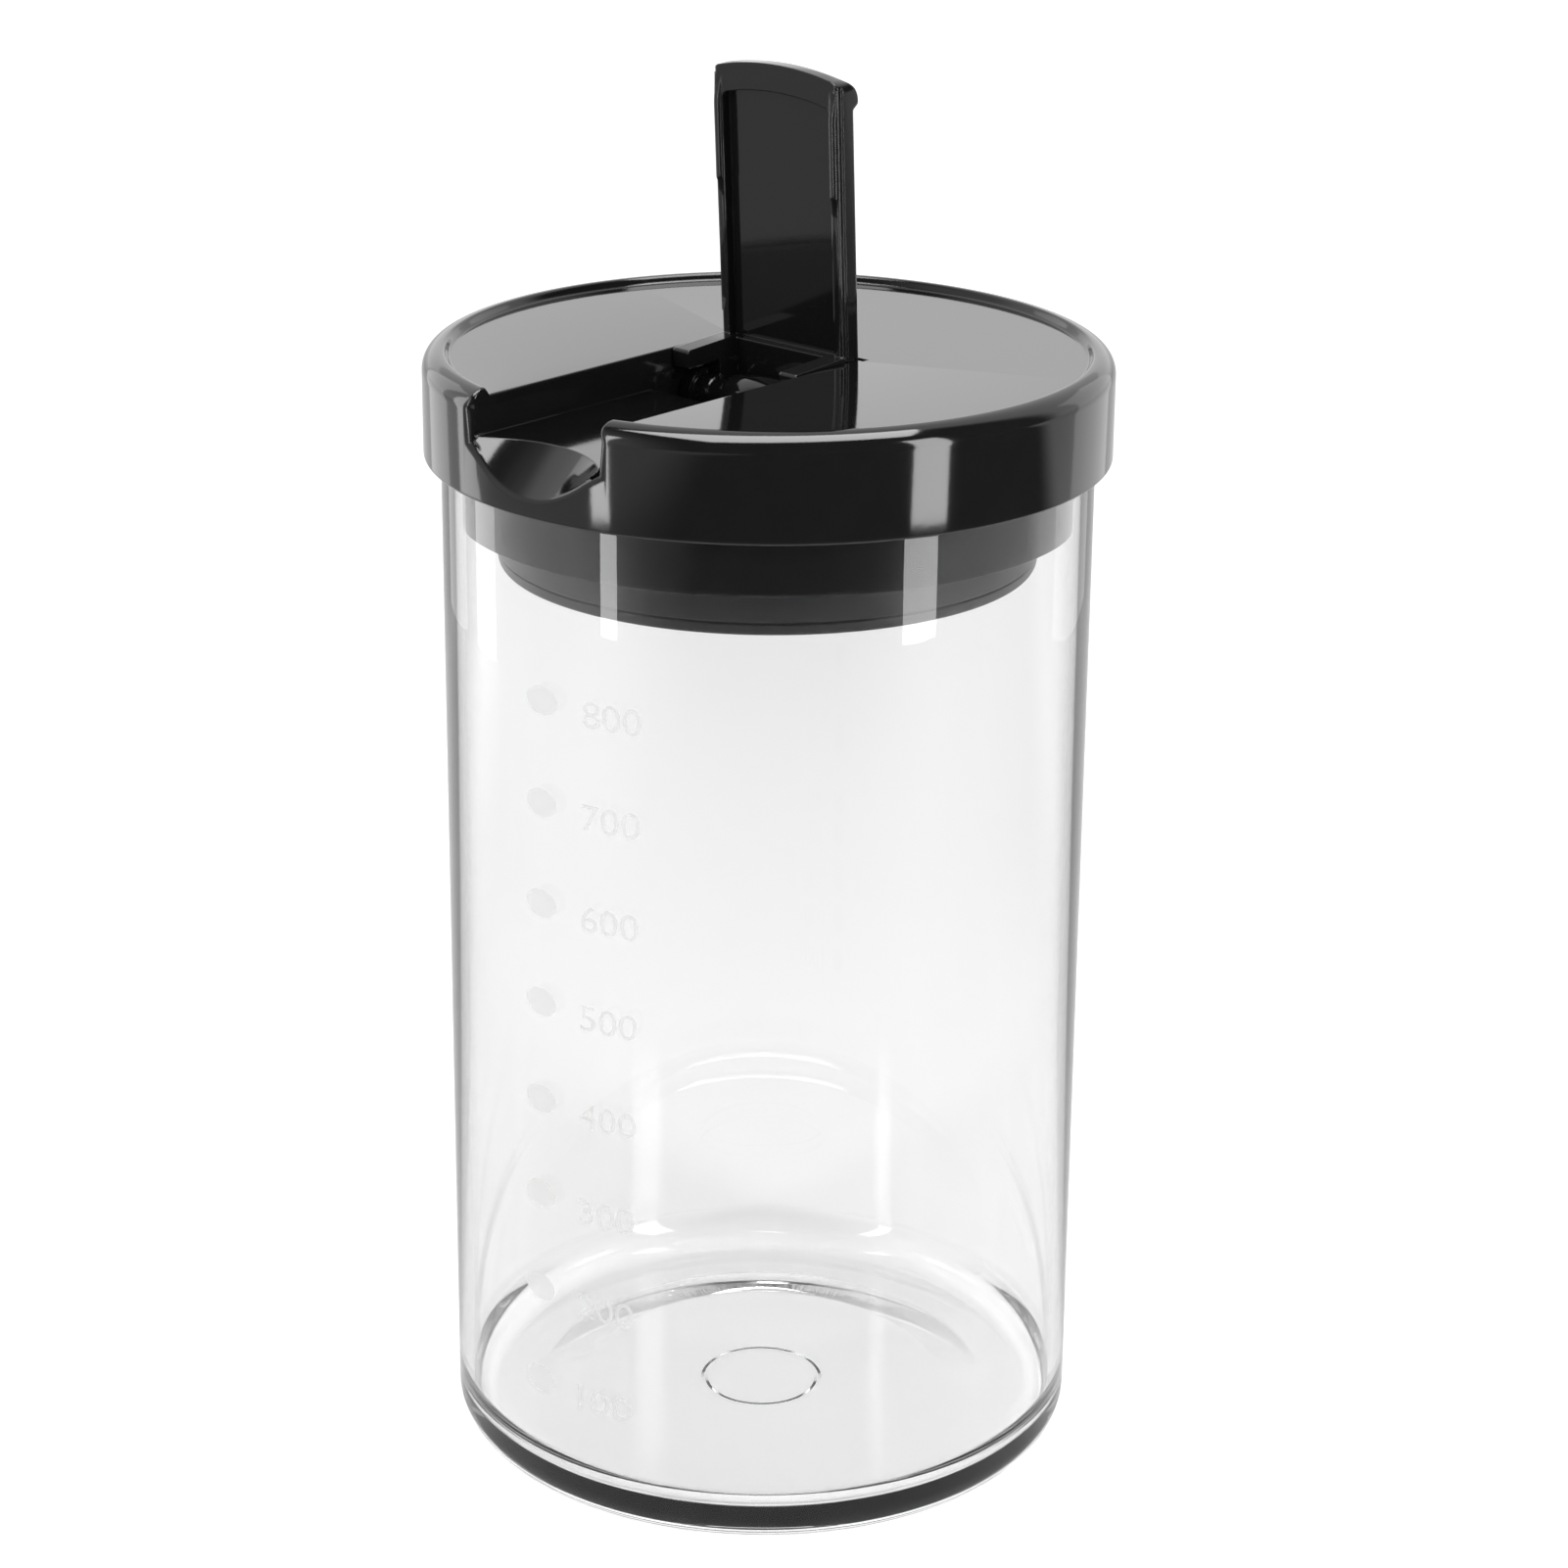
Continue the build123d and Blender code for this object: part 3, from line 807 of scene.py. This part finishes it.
def build_seal(material):
    inner = NECK_WALL_R + SEAL_NECK_GAP
    lip_in = PLUG_TUBE_R + SEAL_TUBE_GAP
    body = lathe("seal", [
        (lip_in, SEAL_BOTTOM, SEAL_EDGE),
        (SEAL_GROOVE_IN, SEAL_BOTTOM, SEAL_EDGE),
        (SEAL_GROOVE_IN, SEAL_GROOVE_TOP, SEAL_GROOVE_ROUND),
        (SEAL_GROOVE_OUT, SEAL_GROOVE_TOP, SEAL_GROOVE_ROUND),
        (SEAL_GROOVE_OUT, SEAL_BOTTOM, SEAL_EDGE),
        (SEAL_R, SEAL_BOTTOM, SEAL_FOOT_EDGE),
        (SEAL_R, FLANGE_LOW, FLANGE_ROOT),
        (FLANGE_R, FLANGE_LOW, SEAL_EDGE),
        (FLANGE_R, FLANGE_TOP, SEAL_EDGE),
        (inner, FLANGE_TOP, SEAL_EDGE),
        (inner, NECK_WALL_BOTTOM - RUNNING_GAP, 0),
        (lip_in, NECK_WALL_BOTTOM - RUNNING_GAP, SEAL_EDGE),
    ])
    return finish_piece(body, "neck_seal", material, "lid", "seal_ring")


def build_plug(material):
    floor_top = PLUG_BOTTOM + PLUG_FLOOR_T
    shoulder = SEAL_BOTTOM - RUNNING_GAP
    groove_z = PLUG_BOTTOM + PLUG_GROOVE_Z
    wall_in = PLUG_TUBE_R - PLUG_STEP
    body = lathe("plug", [
        (0, PLUG_BOTTOM, 0),
        (PLUG_R - PLUG_STEP, PLUG_BOTTOM, PLUG_EDGE),
        (PLUG_R - PLUG_STEP, groove_z, 0),
        (PLUG_R - 2 * PLUG_STEP, groove_z, 0),
        (PLUG_R - 2 * PLUG_STEP, groove_z + PLUG_GROOVE_H, 0),
        (PLUG_R, groove_z + PLUG_GROOVE_H, PLUG_GROOVE_EDGE),
        (PLUG_R, shoulder, PLUG_TUBE_EDGE),
        (PLUG_TUBE_R, shoulder, 0),
        (PLUG_TUBE_R, PLUG_TOP, PLUG_TUBE_EDGE),
        (PLUG_TUBE_IN, PLUG_TOP, PLUG_TUBE_EDGE),
        (PLUG_TUBE_IN, shoulder - PLUG_TAPER_TOP, PLUG_TAPER_ROUND),
        (wall_in, shoulder - PLUG_TAPER_END, PLUG_TAPER_ROUND),
        (wall_in, floor_top, PLUG_FLOOR_ROUND),
        (0, floor_top, 0),
    ])
    side = CHANNEL_HALF + PLUG_SHAFT_T
    shaft = block(
        (-side, HOLE_FRONT - PLUG_SHAFT_T, PLUG_BOTTOM + PLUG_SHAFT_RAISE),
        (side, HOLE_REAR + PLUG_SHAFT_T, DUCT_BOTTOM - RUNNING_GAP),
    )
    window = block(
        (-CHANNEL_HALF, HOLE_FRONT, PLUG_BOTTOM - PAST),
        (CHANNEL_HALF, HOLE_REAR, DUCT_BOTTOM + PAST),
    )
    cut(join(body, shaft), window)
    return finish_piece(body, "plug_body", material, "lid", "plug_insert")


def flap_plate():
    """The long plate with the rim's raised bead at its tip, hollowed underneath between its lips."""
    under = PLATE_Z - FLAP_T
    low_half = FLAP_HALF - SIDE_STEP
    step_z = under + SIDE_STEP_HIGH
    step_top = step_z + SIDE_STEP_RISE
    outline = rounded([
        (-low_half, under, FLAP_EDGE),
        (low_half, under, FLAP_EDGE),
        (low_half, step_z, SIDE_STEP_ROUND),
        (FLAP_HALF, step_top, SIDE_STEP_ROUND),
        (FLAP_HALF, CREST_Z + 3 * PAST, 0),
        (-FLAP_HALF, CREST_Z + 3 * PAST, 0),
        (-FLAP_HALF, step_top, SIDE_STEP_ROUND),
        (-low_half, step_z, SIDE_STEP_ROUND),
    ])
    bar = prism("flap_bar", [(p.x, p.y) for p in outline], 0, LID_R + PAST)
    bar.data.transform(Matrix.Translation((0, PIVOT_Y, 0)) @ Matrix.Rotation(math.radians(90), 4, "X"))
    plan = tip_outline(LID_R - TIP_INSET, FLAP_HALF + PLAN_EXTRA, TIP_CORNER, PIVOT_Y + PAST)
    plate = meet(lid_outside(), bar, prism("plan", plan, under - PAST, CREST_Z + PAST))
    inside = FLAP_HALF - LIP_SIDE
    hollow = tip_outline(LID_R - LIP_TIP, inside, RECESS_CORNER, LUG_FRONT + RECESS_REAR_GAP)
    return cut(plate, prism("recess", hollow, under - PAST, PLATE_Z - FLAP_SKIN))


def tip_outline(radius, half, corner, rear):
    """A plan that ends in an arc about the lid's centre, with rounded corners at the tip."""
    front = math.sqrt(radius ** 2 - half ** 2)
    plan = [(half, rear, 0), (half, -front, corner)]
    spread = math.asin(half / radius)
    for k in range(1, TIP_STEPS):
        a = spread * (1 - 2 * k / TIP_STEPS)
        if abs(a) < spread * TIP_ARC_SHARE:
            plan.append((radius * math.sin(a), -radius * math.cos(a), 0))
    plan += [(-half, -front, corner), (-half, rear, 0)]
    return [(p.x, p.y) for p in rounded(plan)]


def lip_keel(side):
    """The rib under one side lip: deepest near the tip, with a small step where it snaps into place."""
    under = PLATE_Z - FLAP_T
    inner = FLAP_HALF - LIP_SIDE + KEEL_INSET
    outer = FLAP_HALF - SIDE_STEP - KEEL_INSET
    profile = []
    for k in range(KEEL_STEPS + 1):
        t = k / KEEL_STEPS
        profile.append((KEEL_TIP + (KEEL_FULL - KEEL_TIP) * t, KEEL * (3 - 2 * t) * t * t))
    profile += [
        (KEEL_SNAP, KEEL),
        (KEEL_SNAP + SNAP_L / 2, KEEL * SNAP_MIDDLE),
        (KEEL_SNAP + SNAP_L, KEEL * SNAP_FOOT),
    ]
    for k in range(1, KEEL_TAIL_STEPS + 1):
        t = k / KEEL_TAIL_STEPS
        y = KEEL_SNAP + SNAP_L + (KEEL_END - KEEL_SNAP - SNAP_L) * t
        profile.append((y, KEEL * SNAP_FOOT * (1 - t)))
    rings = []
    for y, depth in profile:
        soft = min(KEEL_SOFT, depth)
        section = [(inner, KEEL_ROOT), (inner, -depth + soft)]
        for k in range(1, KEEL_ARC_STEPS + 1):
            a = math.radians(90 * k / KEEL_ARC_STEPS)
            section.append((inner + soft * (1 - math.cos(a)), -depth + soft * (1 - math.sin(a))))
        for k in range(KEEL_ARC_STEPS + 1):
            a = math.radians(90 * k / KEEL_ARC_STEPS)
            section.append((outer - soft + soft * math.sin(a), -depth + soft * (1 - math.cos(a))))
        section += [(outer, KEEL_ROOT)]
        rings.append([(side * x, y, under + z) for x, z in section])
    return loft("keel", rings)


def hinge_drum():
    """The quarter shell behind the pivot."""
    side = FLAP_HALF + PAST
    shell = cut(rod_x(DRUM_R, -FLAP_HALF, FLAP_HALF), rod_x(DRUM_IN, -side, side))
    quarter = block(
        (-side, PIVOT_Y - DRUM_FRONT, PIVOT_Z),
        (side, PIVOT_Y + DRUM_R + PAST, PIVOT_Z + DRUM_R + PAST),
    )
    return meet(shell, quarter)


def hinge_barrel():
    """The rounded barrel on the pivot, between the cheeks, on a thinner shaft."""
    swell = BARREL_R - BARREL_END_R
    corners = [(0, -BARREL_HALF, 0), (BARREL_END_R, -BARREL_HALF, BARREL_ROUND)]
    for k in range(1, BARREL_STEPS):
        t = -1 + 2 * k / BARREL_STEPS
        corners.append((BARREL_END_R + swell * (1 - t * t), t * BARREL_HALF * BARREL_SWELL, 0))
    corners += [(BARREL_END_R, BARREL_HALF, BARREL_ROUND), (0, BARREL_HALF, 0)]
    barrel = lathe("barrel", corners, steps=ROD_STEPS)
    barrel.data.transform(
        Matrix.Translation((0, PIVOT_Y, PIVOT_Z)) @ Matrix.Rotation(math.radians(90), 4, "Y")
    )
    return join(barrel, rod_x(SHAFT_R, -CHEEK_IN - PAST, CHEEK_IN + PAST))


def cheek(side):
    """One cheek: the lug that drops from the plate, the web and hub behind it, and the trunnion."""
    under = PLATE_Z - FLAP_T
    near, far = sorted((side * CHEEK_IN, side * (FLAP_HALF - CHEEK_INSET)))
    lug_low = PLATE_Z - LUG_DROP
    lug_rear = LUG_FRONT + LUG_T
    outline = rounded([
        (LUG_FRONT, under + LUG_ROOT, 0),
        (LUG_FRONT, lug_low, LUG_ROUND),
        (lug_rear, lug_low, LUG_ROUND),
        (lug_rear, under + LUG_ROOT, 0),
    ])
    lug = prism("lug", [(p.x, p.y) for p in outline], near, far, "X")
    inset = CHEEK_INSET / 2
    web = block(
        (near + inset, lug_rear - WEB_OVERLAP, PIVOT_Z + WEB_BOTTOM),
        (far - inset, PIVOT_Y, under + WEB_ROOT),
    )
    corner = block(
        (near - PAST, PIVOT_Y - WEB_OVERLAP, PIVOT_Z),
        (far + PAST, PIVOT_Y + DRUM_R, PIVOT_Z + DRUM_R),
    )
    fill = meet(rod_x(DRUM_IN + FILL_OVERLAP, near + 2 * inset, far - 2 * inset), corner)
    hub = rod_x(HUB_R, near + inset, far - inset)
    start, end = sorted((side * (FLAP_HALF - WEB_OVERLAP), side * TRUNNION_END))
    trunnion = rod_x(TRUNNION_R, start, end)
    return join(lug, web, fill, hub, trunnion)


def build_flap(material):
    closed = join(
        flap_plate(), lip_keel(-1), lip_keel(1), hinge_drum(), cheek(-1), cheek(1), hinge_barrel()
    )
    turn = (
        Matrix.Translation((0, PIVOT_Y, PIVOT_Z))
        @ Matrix.Rotation(math.radians(-OPEN_ANGLE), 4, "X")
        @ Matrix.Translation((0, -PIVOT_Y, -PIVOT_Z))
    )
    closed.data.transform(turn)
    return finish_piece(closed, "flap_body", material, "flap", "pour_flap")


def wrap(mesh, azimuth, height):
    """Bends a flat mesh in millimetres round the glass, with its middle at an azimuth and height."""
    radius = GLASS_R + PRINT_GAP
    for vertex in mesh.vertices:
        a = math.radians(azimuth) + vertex.co.x / GLASS_R
        r = radius + vertex.co.z
        vertex.co = Vector((r * math.cos(a), r * math.sin(a), height + vertex.co.y))


def subdivided(obj, cuts_x):
    """Splits a flat mesh along X so that it can bend smoothly."""
    bm = bmesh.new()
    bm.from_mesh(obj.data)
    low = min(v.co.x for v in bm.verts)
    high = max(v.co.x for v in bm.verts)
    for k in range(1, cuts_x):
        x = low + (high - low) * k / cuts_x
        geometry = bm.verts[:] + bm.edges[:] + bm.faces[:]
        bmesh.ops.bisect_plane(bm, geom=geometry, plane_co=(x, 0, 0), plane_no=(1, 0, 0))
    bm.to_mesh(obj.data)
    bm.free()


def mark_place(k):
    """Height and skew of mark k, where k = 1 is the lowest."""
    return FIRST_MARK_Z + (k - 1) * MARK_PITCH, PRINT_SKEW * (k - (MARK_COUNT + 1) / 2)


def merge(name, objects):
    """One object from several meshes, kept as separate shells."""
    bm = bmesh.new()
    for obj in objects:
        bm.from_mesh(obj.data)
        bpy.data.objects.remove(obj)
    mesh = bpy.data.meshes.new(name)
    bm.to_mesh(mesh)
    bm.free()
    merged = bpy.data.objects.new(name, mesh)
    bpy.context.scene.collection.objects.link(merged)
    return merged


def build_ovals(material):
    ovals = []
    for k in range(1, MARK_COUNT + 1):
        points = []
        for i in range(OVAL_STEPS):
            a = 2 * math.pi * i / OVAL_STEPS
            points.append((OVAL_W / 2 * math.cos(a), OVAL_H / 2 * math.sin(a)))
        oval = prism("oval", points, 0, PRINT_T)
        subdivided(oval, OVAL_CUTS)
        height, skew = mark_place(k)
        wrap(oval.data, OVAL_AZIMUTH + skew, height)
        ovals.append(oval)
    merged = merge("ovals", ovals)
    return finish_piece(merged, "print_ovals", material, "jar", "graduation_ovals")


def build_numbers(material):
    numbers = []
    for k in range(1, MARK_COUNT + 1):
        curve = bpy.data.curves.new("number", "FONT")
        curve.body = str(k * 100)
        curve.align_x = "CENTER"
        curve.align_y = "CENTER"
        curve.extrude = PRINT_T / 2
        curve.resolution_u = DIGIT_CURVE_STEPS
        text = bpy.data.objects.new("number", curve)
        bpy.context.scene.collection.objects.link(text)
        graph = bpy.context.evaluated_depsgraph_get()
        mesh = bpy.data.meshes.new_from_object(text.evaluated_get(graph))
        bpy.data.objects.remove(text)
        low = Vector([min(v.co[i] for v in mesh.vertices) for i in range(3)])
        high = Vector([max(v.co[i] for v in mesh.vertices) for i in range(3)])
        grow_x = NUMBER_W / (high.x - low.x)
        grow_y = DIGIT_H / (high.y - low.y)
        middle = (low + high) / 2
        for vertex in mesh.vertices:
            vertex.co.x = (vertex.co.x - middle.x) * grow_x
            vertex.co.y = (vertex.co.y - middle.y) * grow_y
            vertex.co.z = vertex.co.z - low.z
        number = bpy.data.objects.new("number", mesh)
        bpy.context.scene.collection.objects.link(number)
        height, skew = mark_place(k)
        wrap(number.data, NUMBER_AZIMUTH + skew, height - NUMBER_DROP)
        numbers.append(number)
    merged = merge("numbers", numbers)
    return finish_piece(merged, "print_numbers", material, "jar", "graduation_numbers")


def place_camera():
    """The camera that was fitted before the jar's front, turned round the jar to the photograph's side."""
    pitch, yaw, roll = (math.radians(v) for v in (CAMERA_PITCH, CAMERA_YAW, CAMERA_ROLL))
    ahead = Vector((
        math.sin(yaw) * math.cos(pitch), math.cos(yaw) * math.cos(pitch), -math.sin(pitch)
    ))
    right = ahead.cross(Vector((0, 0, 1))).normalized()
    up = right.cross(ahead)
    right_rolled = right * math.cos(roll) + up * math.sin(roll)
    up_rolled = -right * math.sin(roll) + up * math.cos(roll)
    basis = Matrix((right_rolled, up_rolled, -ahead)).transposed().to_4x4()
    basis.translation = Vector((0, -CAMERA_DISTANCE, CAMERA_HEIGHT)) * MM
    data = bpy.data.cameras.new("camera")
    data.lens = CAMERA_LENS
    data.sensor_width = SENSOR
    data.sensor_fit = "HORIZONTAL"
    data.clip_start = CLIP_START
    data.clip_end = CLIP_END
    camera = bpy.data.objects.new("camera", data)
    camera.matrix_world = Matrix.Rotation(math.radians(CAMERA_AZIMUTH), 4, "Z") @ basis
    bpy.context.scene.collection.objects.link(camera)
    bpy.context.scene.camera = camera


def light_path(tree):
    """The outputs of a new Light Path node."""
    return tree.nodes.new("ShaderNodeLightPath").outputs


def math_node(tree, operation, first, second):
    """A Math node on two outputs, or an output and a number."""
    node = tree.nodes.new("ShaderNodeMath")
    node.operation = operation
    for socket, value in zip(node.inputs, (first, second)):
        if isinstance(value, (int, float)):
            socket.default_value = value
        else:
            tree.links.new(value, socket)
    return node.outputs[0]


def seen_directly(tree):
    """1 for camera, glossy and transmission rays, 0 for the light that falls on things."""
    path = light_path(tree)
    mirrored = math_node(tree, "MAXIMUM", path["Is Camera Ray"], path["Is Glossy Ray"])
    return math_node(tree, "MAXIMUM", mirrored, path["Is Transmission Ray"])


def world_bearing(turn):
    """The world bearing of the photograph's side of the jar, turned to the right by some degrees."""
    return math.radians(CAMERA_AZIMUTH - QUARTER_TURN + turn)


def toward(tree, vector, turn):
    """How far a point or direction lies toward the photograph's side, or toward one turned from it."""
    way = world_bearing(turn)
    dot = tree.nodes.new("ShaderNodeVectorMath")
    dot.operation = "DOT_PRODUCT"
    dot.inputs[1].default_value = (math.cos(way), math.sin(way), 0)
    tree.links.new(vector, dot.inputs[0])
    return dot.outputs["Value"]


def fade(tree, value, start, end, before, after):
    """A smooth change from one grey to another as a value goes from start to end."""
    node = tree.nodes.new("ShaderNodeMapRange")
    node.interpolation_type = "SMOOTHSTEP"
    node.inputs["From Min"].default_value = start
    node.inputs["From Max"].default_value = end
    node.inputs["To Min"].default_value = before
    node.inputs["To Max"].default_value = after
    tree.links.new(value, node.inputs["Value"])
    return node.outputs["Result"]


def mixed(tree, factor, first, second):
    """The first value where the factor is 0 and the second where it is 1."""
    node = tree.nodes.new("ShaderNodeMix")
    node.data_type = "FLOAT"
    for socket, value in (("Factor", factor), ("A", first), ("B", second)):
        if isinstance(value, (int, float)):
            node.inputs[socket].default_value = value
        else:
            tree.links.new(value, node.inputs[socket])
    return node.outputs["Result"]


def reach(tree, place):
    """How far a place on the floor is from the jar's axis; 1 for a direction."""
    node = tree.nodes.new("ShaderNodeVectorMath")
    node.operation = "LENGTH"
    tree.links.new(place, node.inputs[0])
    return node.outputs["Value"]


def studio_level(tree, place, mirrored, side, through):
    """1 where the studio is white: all of it for the camera and for light, less for gloss and glass."""
    path = light_path(tree)
    away = fade(tree, reach(tree, place), *DARK_REACH, 0.0, 1.0)
    forward = toward(tree, place, 0)
    front = math_node(tree, "MULTIPLY", away, fade(tree, forward, *mirrored, 0.0, 1.0))
    left = fade(tree, toward(tree, place, -QUARTER_TURN), *side, ROOM_DARK, ROOM_GREY)
    in_gloss = mixed(tree, front, 1.0, left)
    ahead = math_node(tree, "MULTIPLY", away, fade(tree, forward, *through, 0.0, 1.0))
    off_plug = math_node(tree, "MULTIPLY", ahead, math_node(tree, "MINIMUM", path["Glossy Depth"], 1.0))
    in_glass = mixed(tree, off_plug, 1.0, ROOM_DARK)
    reflected = mixed(tree, path["Is Transmission Ray"], in_gloss, in_glass)
    shown = mixed(tree, path["Is Glossy Ray"], 1.0, reflected)
    return mixed(tree, math_node(tree, "MINIMUM", path["Diffuse Depth"], 1.0), shown, 1.0)


def build_world():
    """A white backdrop, with a dark room on the camera's side for gloss and glass to show."""
    world = bpy.data.worlds.new("studio")
    bpy.context.scene.world = world
    world.use_nodes = True
    tree = world.node_tree
    background = tree.nodes["Background"]
    place = tree.nodes.new("ShaderNodeTexCoord")
    room = studio_level(tree, place.outputs["Generated"], ROOM_IN_GLOSS, ROOM_SIDE, ROOM_IN_GLASS)
    tree.links.new(mixed(tree, seen_directly(tree), WORLD_LIGHT, room), background.inputs["Strength"])
    background.inputs["Color"].default_value = (1, 1, 1, 1)


def build_floor():
    """A white table; gloss and glass see its front fall away into the dark of the room, and glass sees a
    painted light on it under the jar that lifts the jar's shadow there.
    """
    mesh = bpy.data.meshes.new("floor")
    size = FLOOR_SIZE
    corners = [(-size, -size, 0), (size, -size, 0), (size, size, 0), (-size, size, 0)]
    mesh.from_pydata(corners, [], [(0, 1, 2, 3)])
    floor = bpy.data.objects.new("floor", mesh)
    bpy.context.scene.collection.objects.link(floor)
    material, tree, shader = new_material("floor_white")
    place = tree.nodes.new("ShaderNodeTexCoord")
    front = studio_level(tree, place.outputs["Object"], FLOOR_IN_GLOSS, FLOOR_SIDE, FLOOR_IN_GLASS)
    colour = tree.nodes.new("ShaderNodeCombineColor")
    tone = math_node(tree, "MULTIPLY", front, FLOOR_COLOUR)
    for channel in ("Red", "Green", "Blue"):
        tree.links.new(tone, colour.inputs[channel])
    tree.links.new(colour.outputs["Color"], shader.inputs["Base Color"])
    shader.inputs["Roughness"].default_value = FLOOR_ROUGH
    shader.inputs["Specular IOR Level"].default_value = 0.0
    shader.inputs["Emission Color"].default_value = (1, 1, 1, 1)
    reflected = math_node(tree, "MULTIPLY", seen_directly(tree), FLOOR_GLOW)
    white = math_node(tree, "MULTIPLY", light_path(tree)["Is Camera Ray"], FLOOR_WHITE)
    # Painted light: a pool of glow on the floor under the jar, seen only through the glass, that lifts the
    # jar's shadow there
    under = fade(tree, reach(tree, place.outputs["Object"]), *PAINTED_LIGHT_FADE, FLOOR_UNDER_PAINTED_LIGHT, 0.0)
    painted_light_through_base = math_node(tree, "MULTIPLY", light_path(tree)["Is Transmission Ray"], under)
    shown = math_node(tree, "ADD", math_node(tree, "ADD", reflected, white), painted_light_through_base)
    glow = math_node(tree, "MULTIPLY", front, shown)
    tree.links.new(glow, shader.inputs["Emission Strength"])
    mesh.materials.append(material)


def area_light(name, azimuth, distance, width, radiance, height=BOX_HEIGHT, elevation=0, aim_z=AIM_Z):
    """A soft box aimed at the jar's axis; azimuth is counted from the photograph's side, to the right."""
    data = bpy.data.lights.new(name, "AREA")
    data.shape = "RECTANGLE"
    data.size = width
    data.size_y = height
    data.energy = radiance * math.pi * width * height
    light = bpy.data.objects.new(name, data)
    way = world_bearing(azimuth)
    rise = math.radians(elevation)
    out = Vector((math.cos(way) * math.cos(rise), math.sin(way) * math.cos(rise), math.sin(rise)))
    light.location = Vector((0, 0, aim_z)) + out * distance
    light.rotation_euler = out.to_track_quat("Z", "Y").to_euler()
    bpy.context.scene.collection.objects.link(light)
    return light


gloss = plastic("black_gloss", GLOSS_BLACK, rough=(0.05, 0.1), ior=1.55, grain=500.0, strength=0.015)
satin = plastic("black_satin", SATIN_BLACK, rough=(0.3, 0.4))
silicone = plastic("black_silicone", SILICONE_BLACK, rough=(0.2, 0.28), ior=1.42)
glass = glass_material()
ink = print_material()

place_camera()
build_world()
build_floor()
area_light("left_box", azimuth=-53, distance=0.42, width=0.045, radiance=8.0, aim_z=LID_AIM_Z)
area_light("right_box", azimuth=51, distance=0.42, width=0.09, radiance=7.5, aim_z=LID_AIM_Z)
area_light("left_edge", azimuth=-111, distance=0.45, width=0.1, radiance=2.0)
area_light("left_rim", azimuth=-135, distance=0.45, width=0.15, radiance=0.8)
area_light("right_rim", azimuth=130, distance=0.45, width=0.25, radiance=0.6)
area_light("back_panel", azimuth=180, distance=1.4, width=1.6, radiance=0.38, elevation=10)

# The card over the jar shows in gloss and glass, and adds no light to what is under it
top_card = area_light(
    "top_card", azimuth=20, distance=0.9, width=0.9, radiance=9.0, height=0.66, elevation=82
)
top_card.visible_diffuse = False

build_glass(glass)
build_lid(gloss)
build_seal(silicone)
build_plug(satin)
build_flap(gloss)
build_ovals(ink)
build_numbers(ink)

bpy.context.scene.view_settings.view_transform = "Standard"
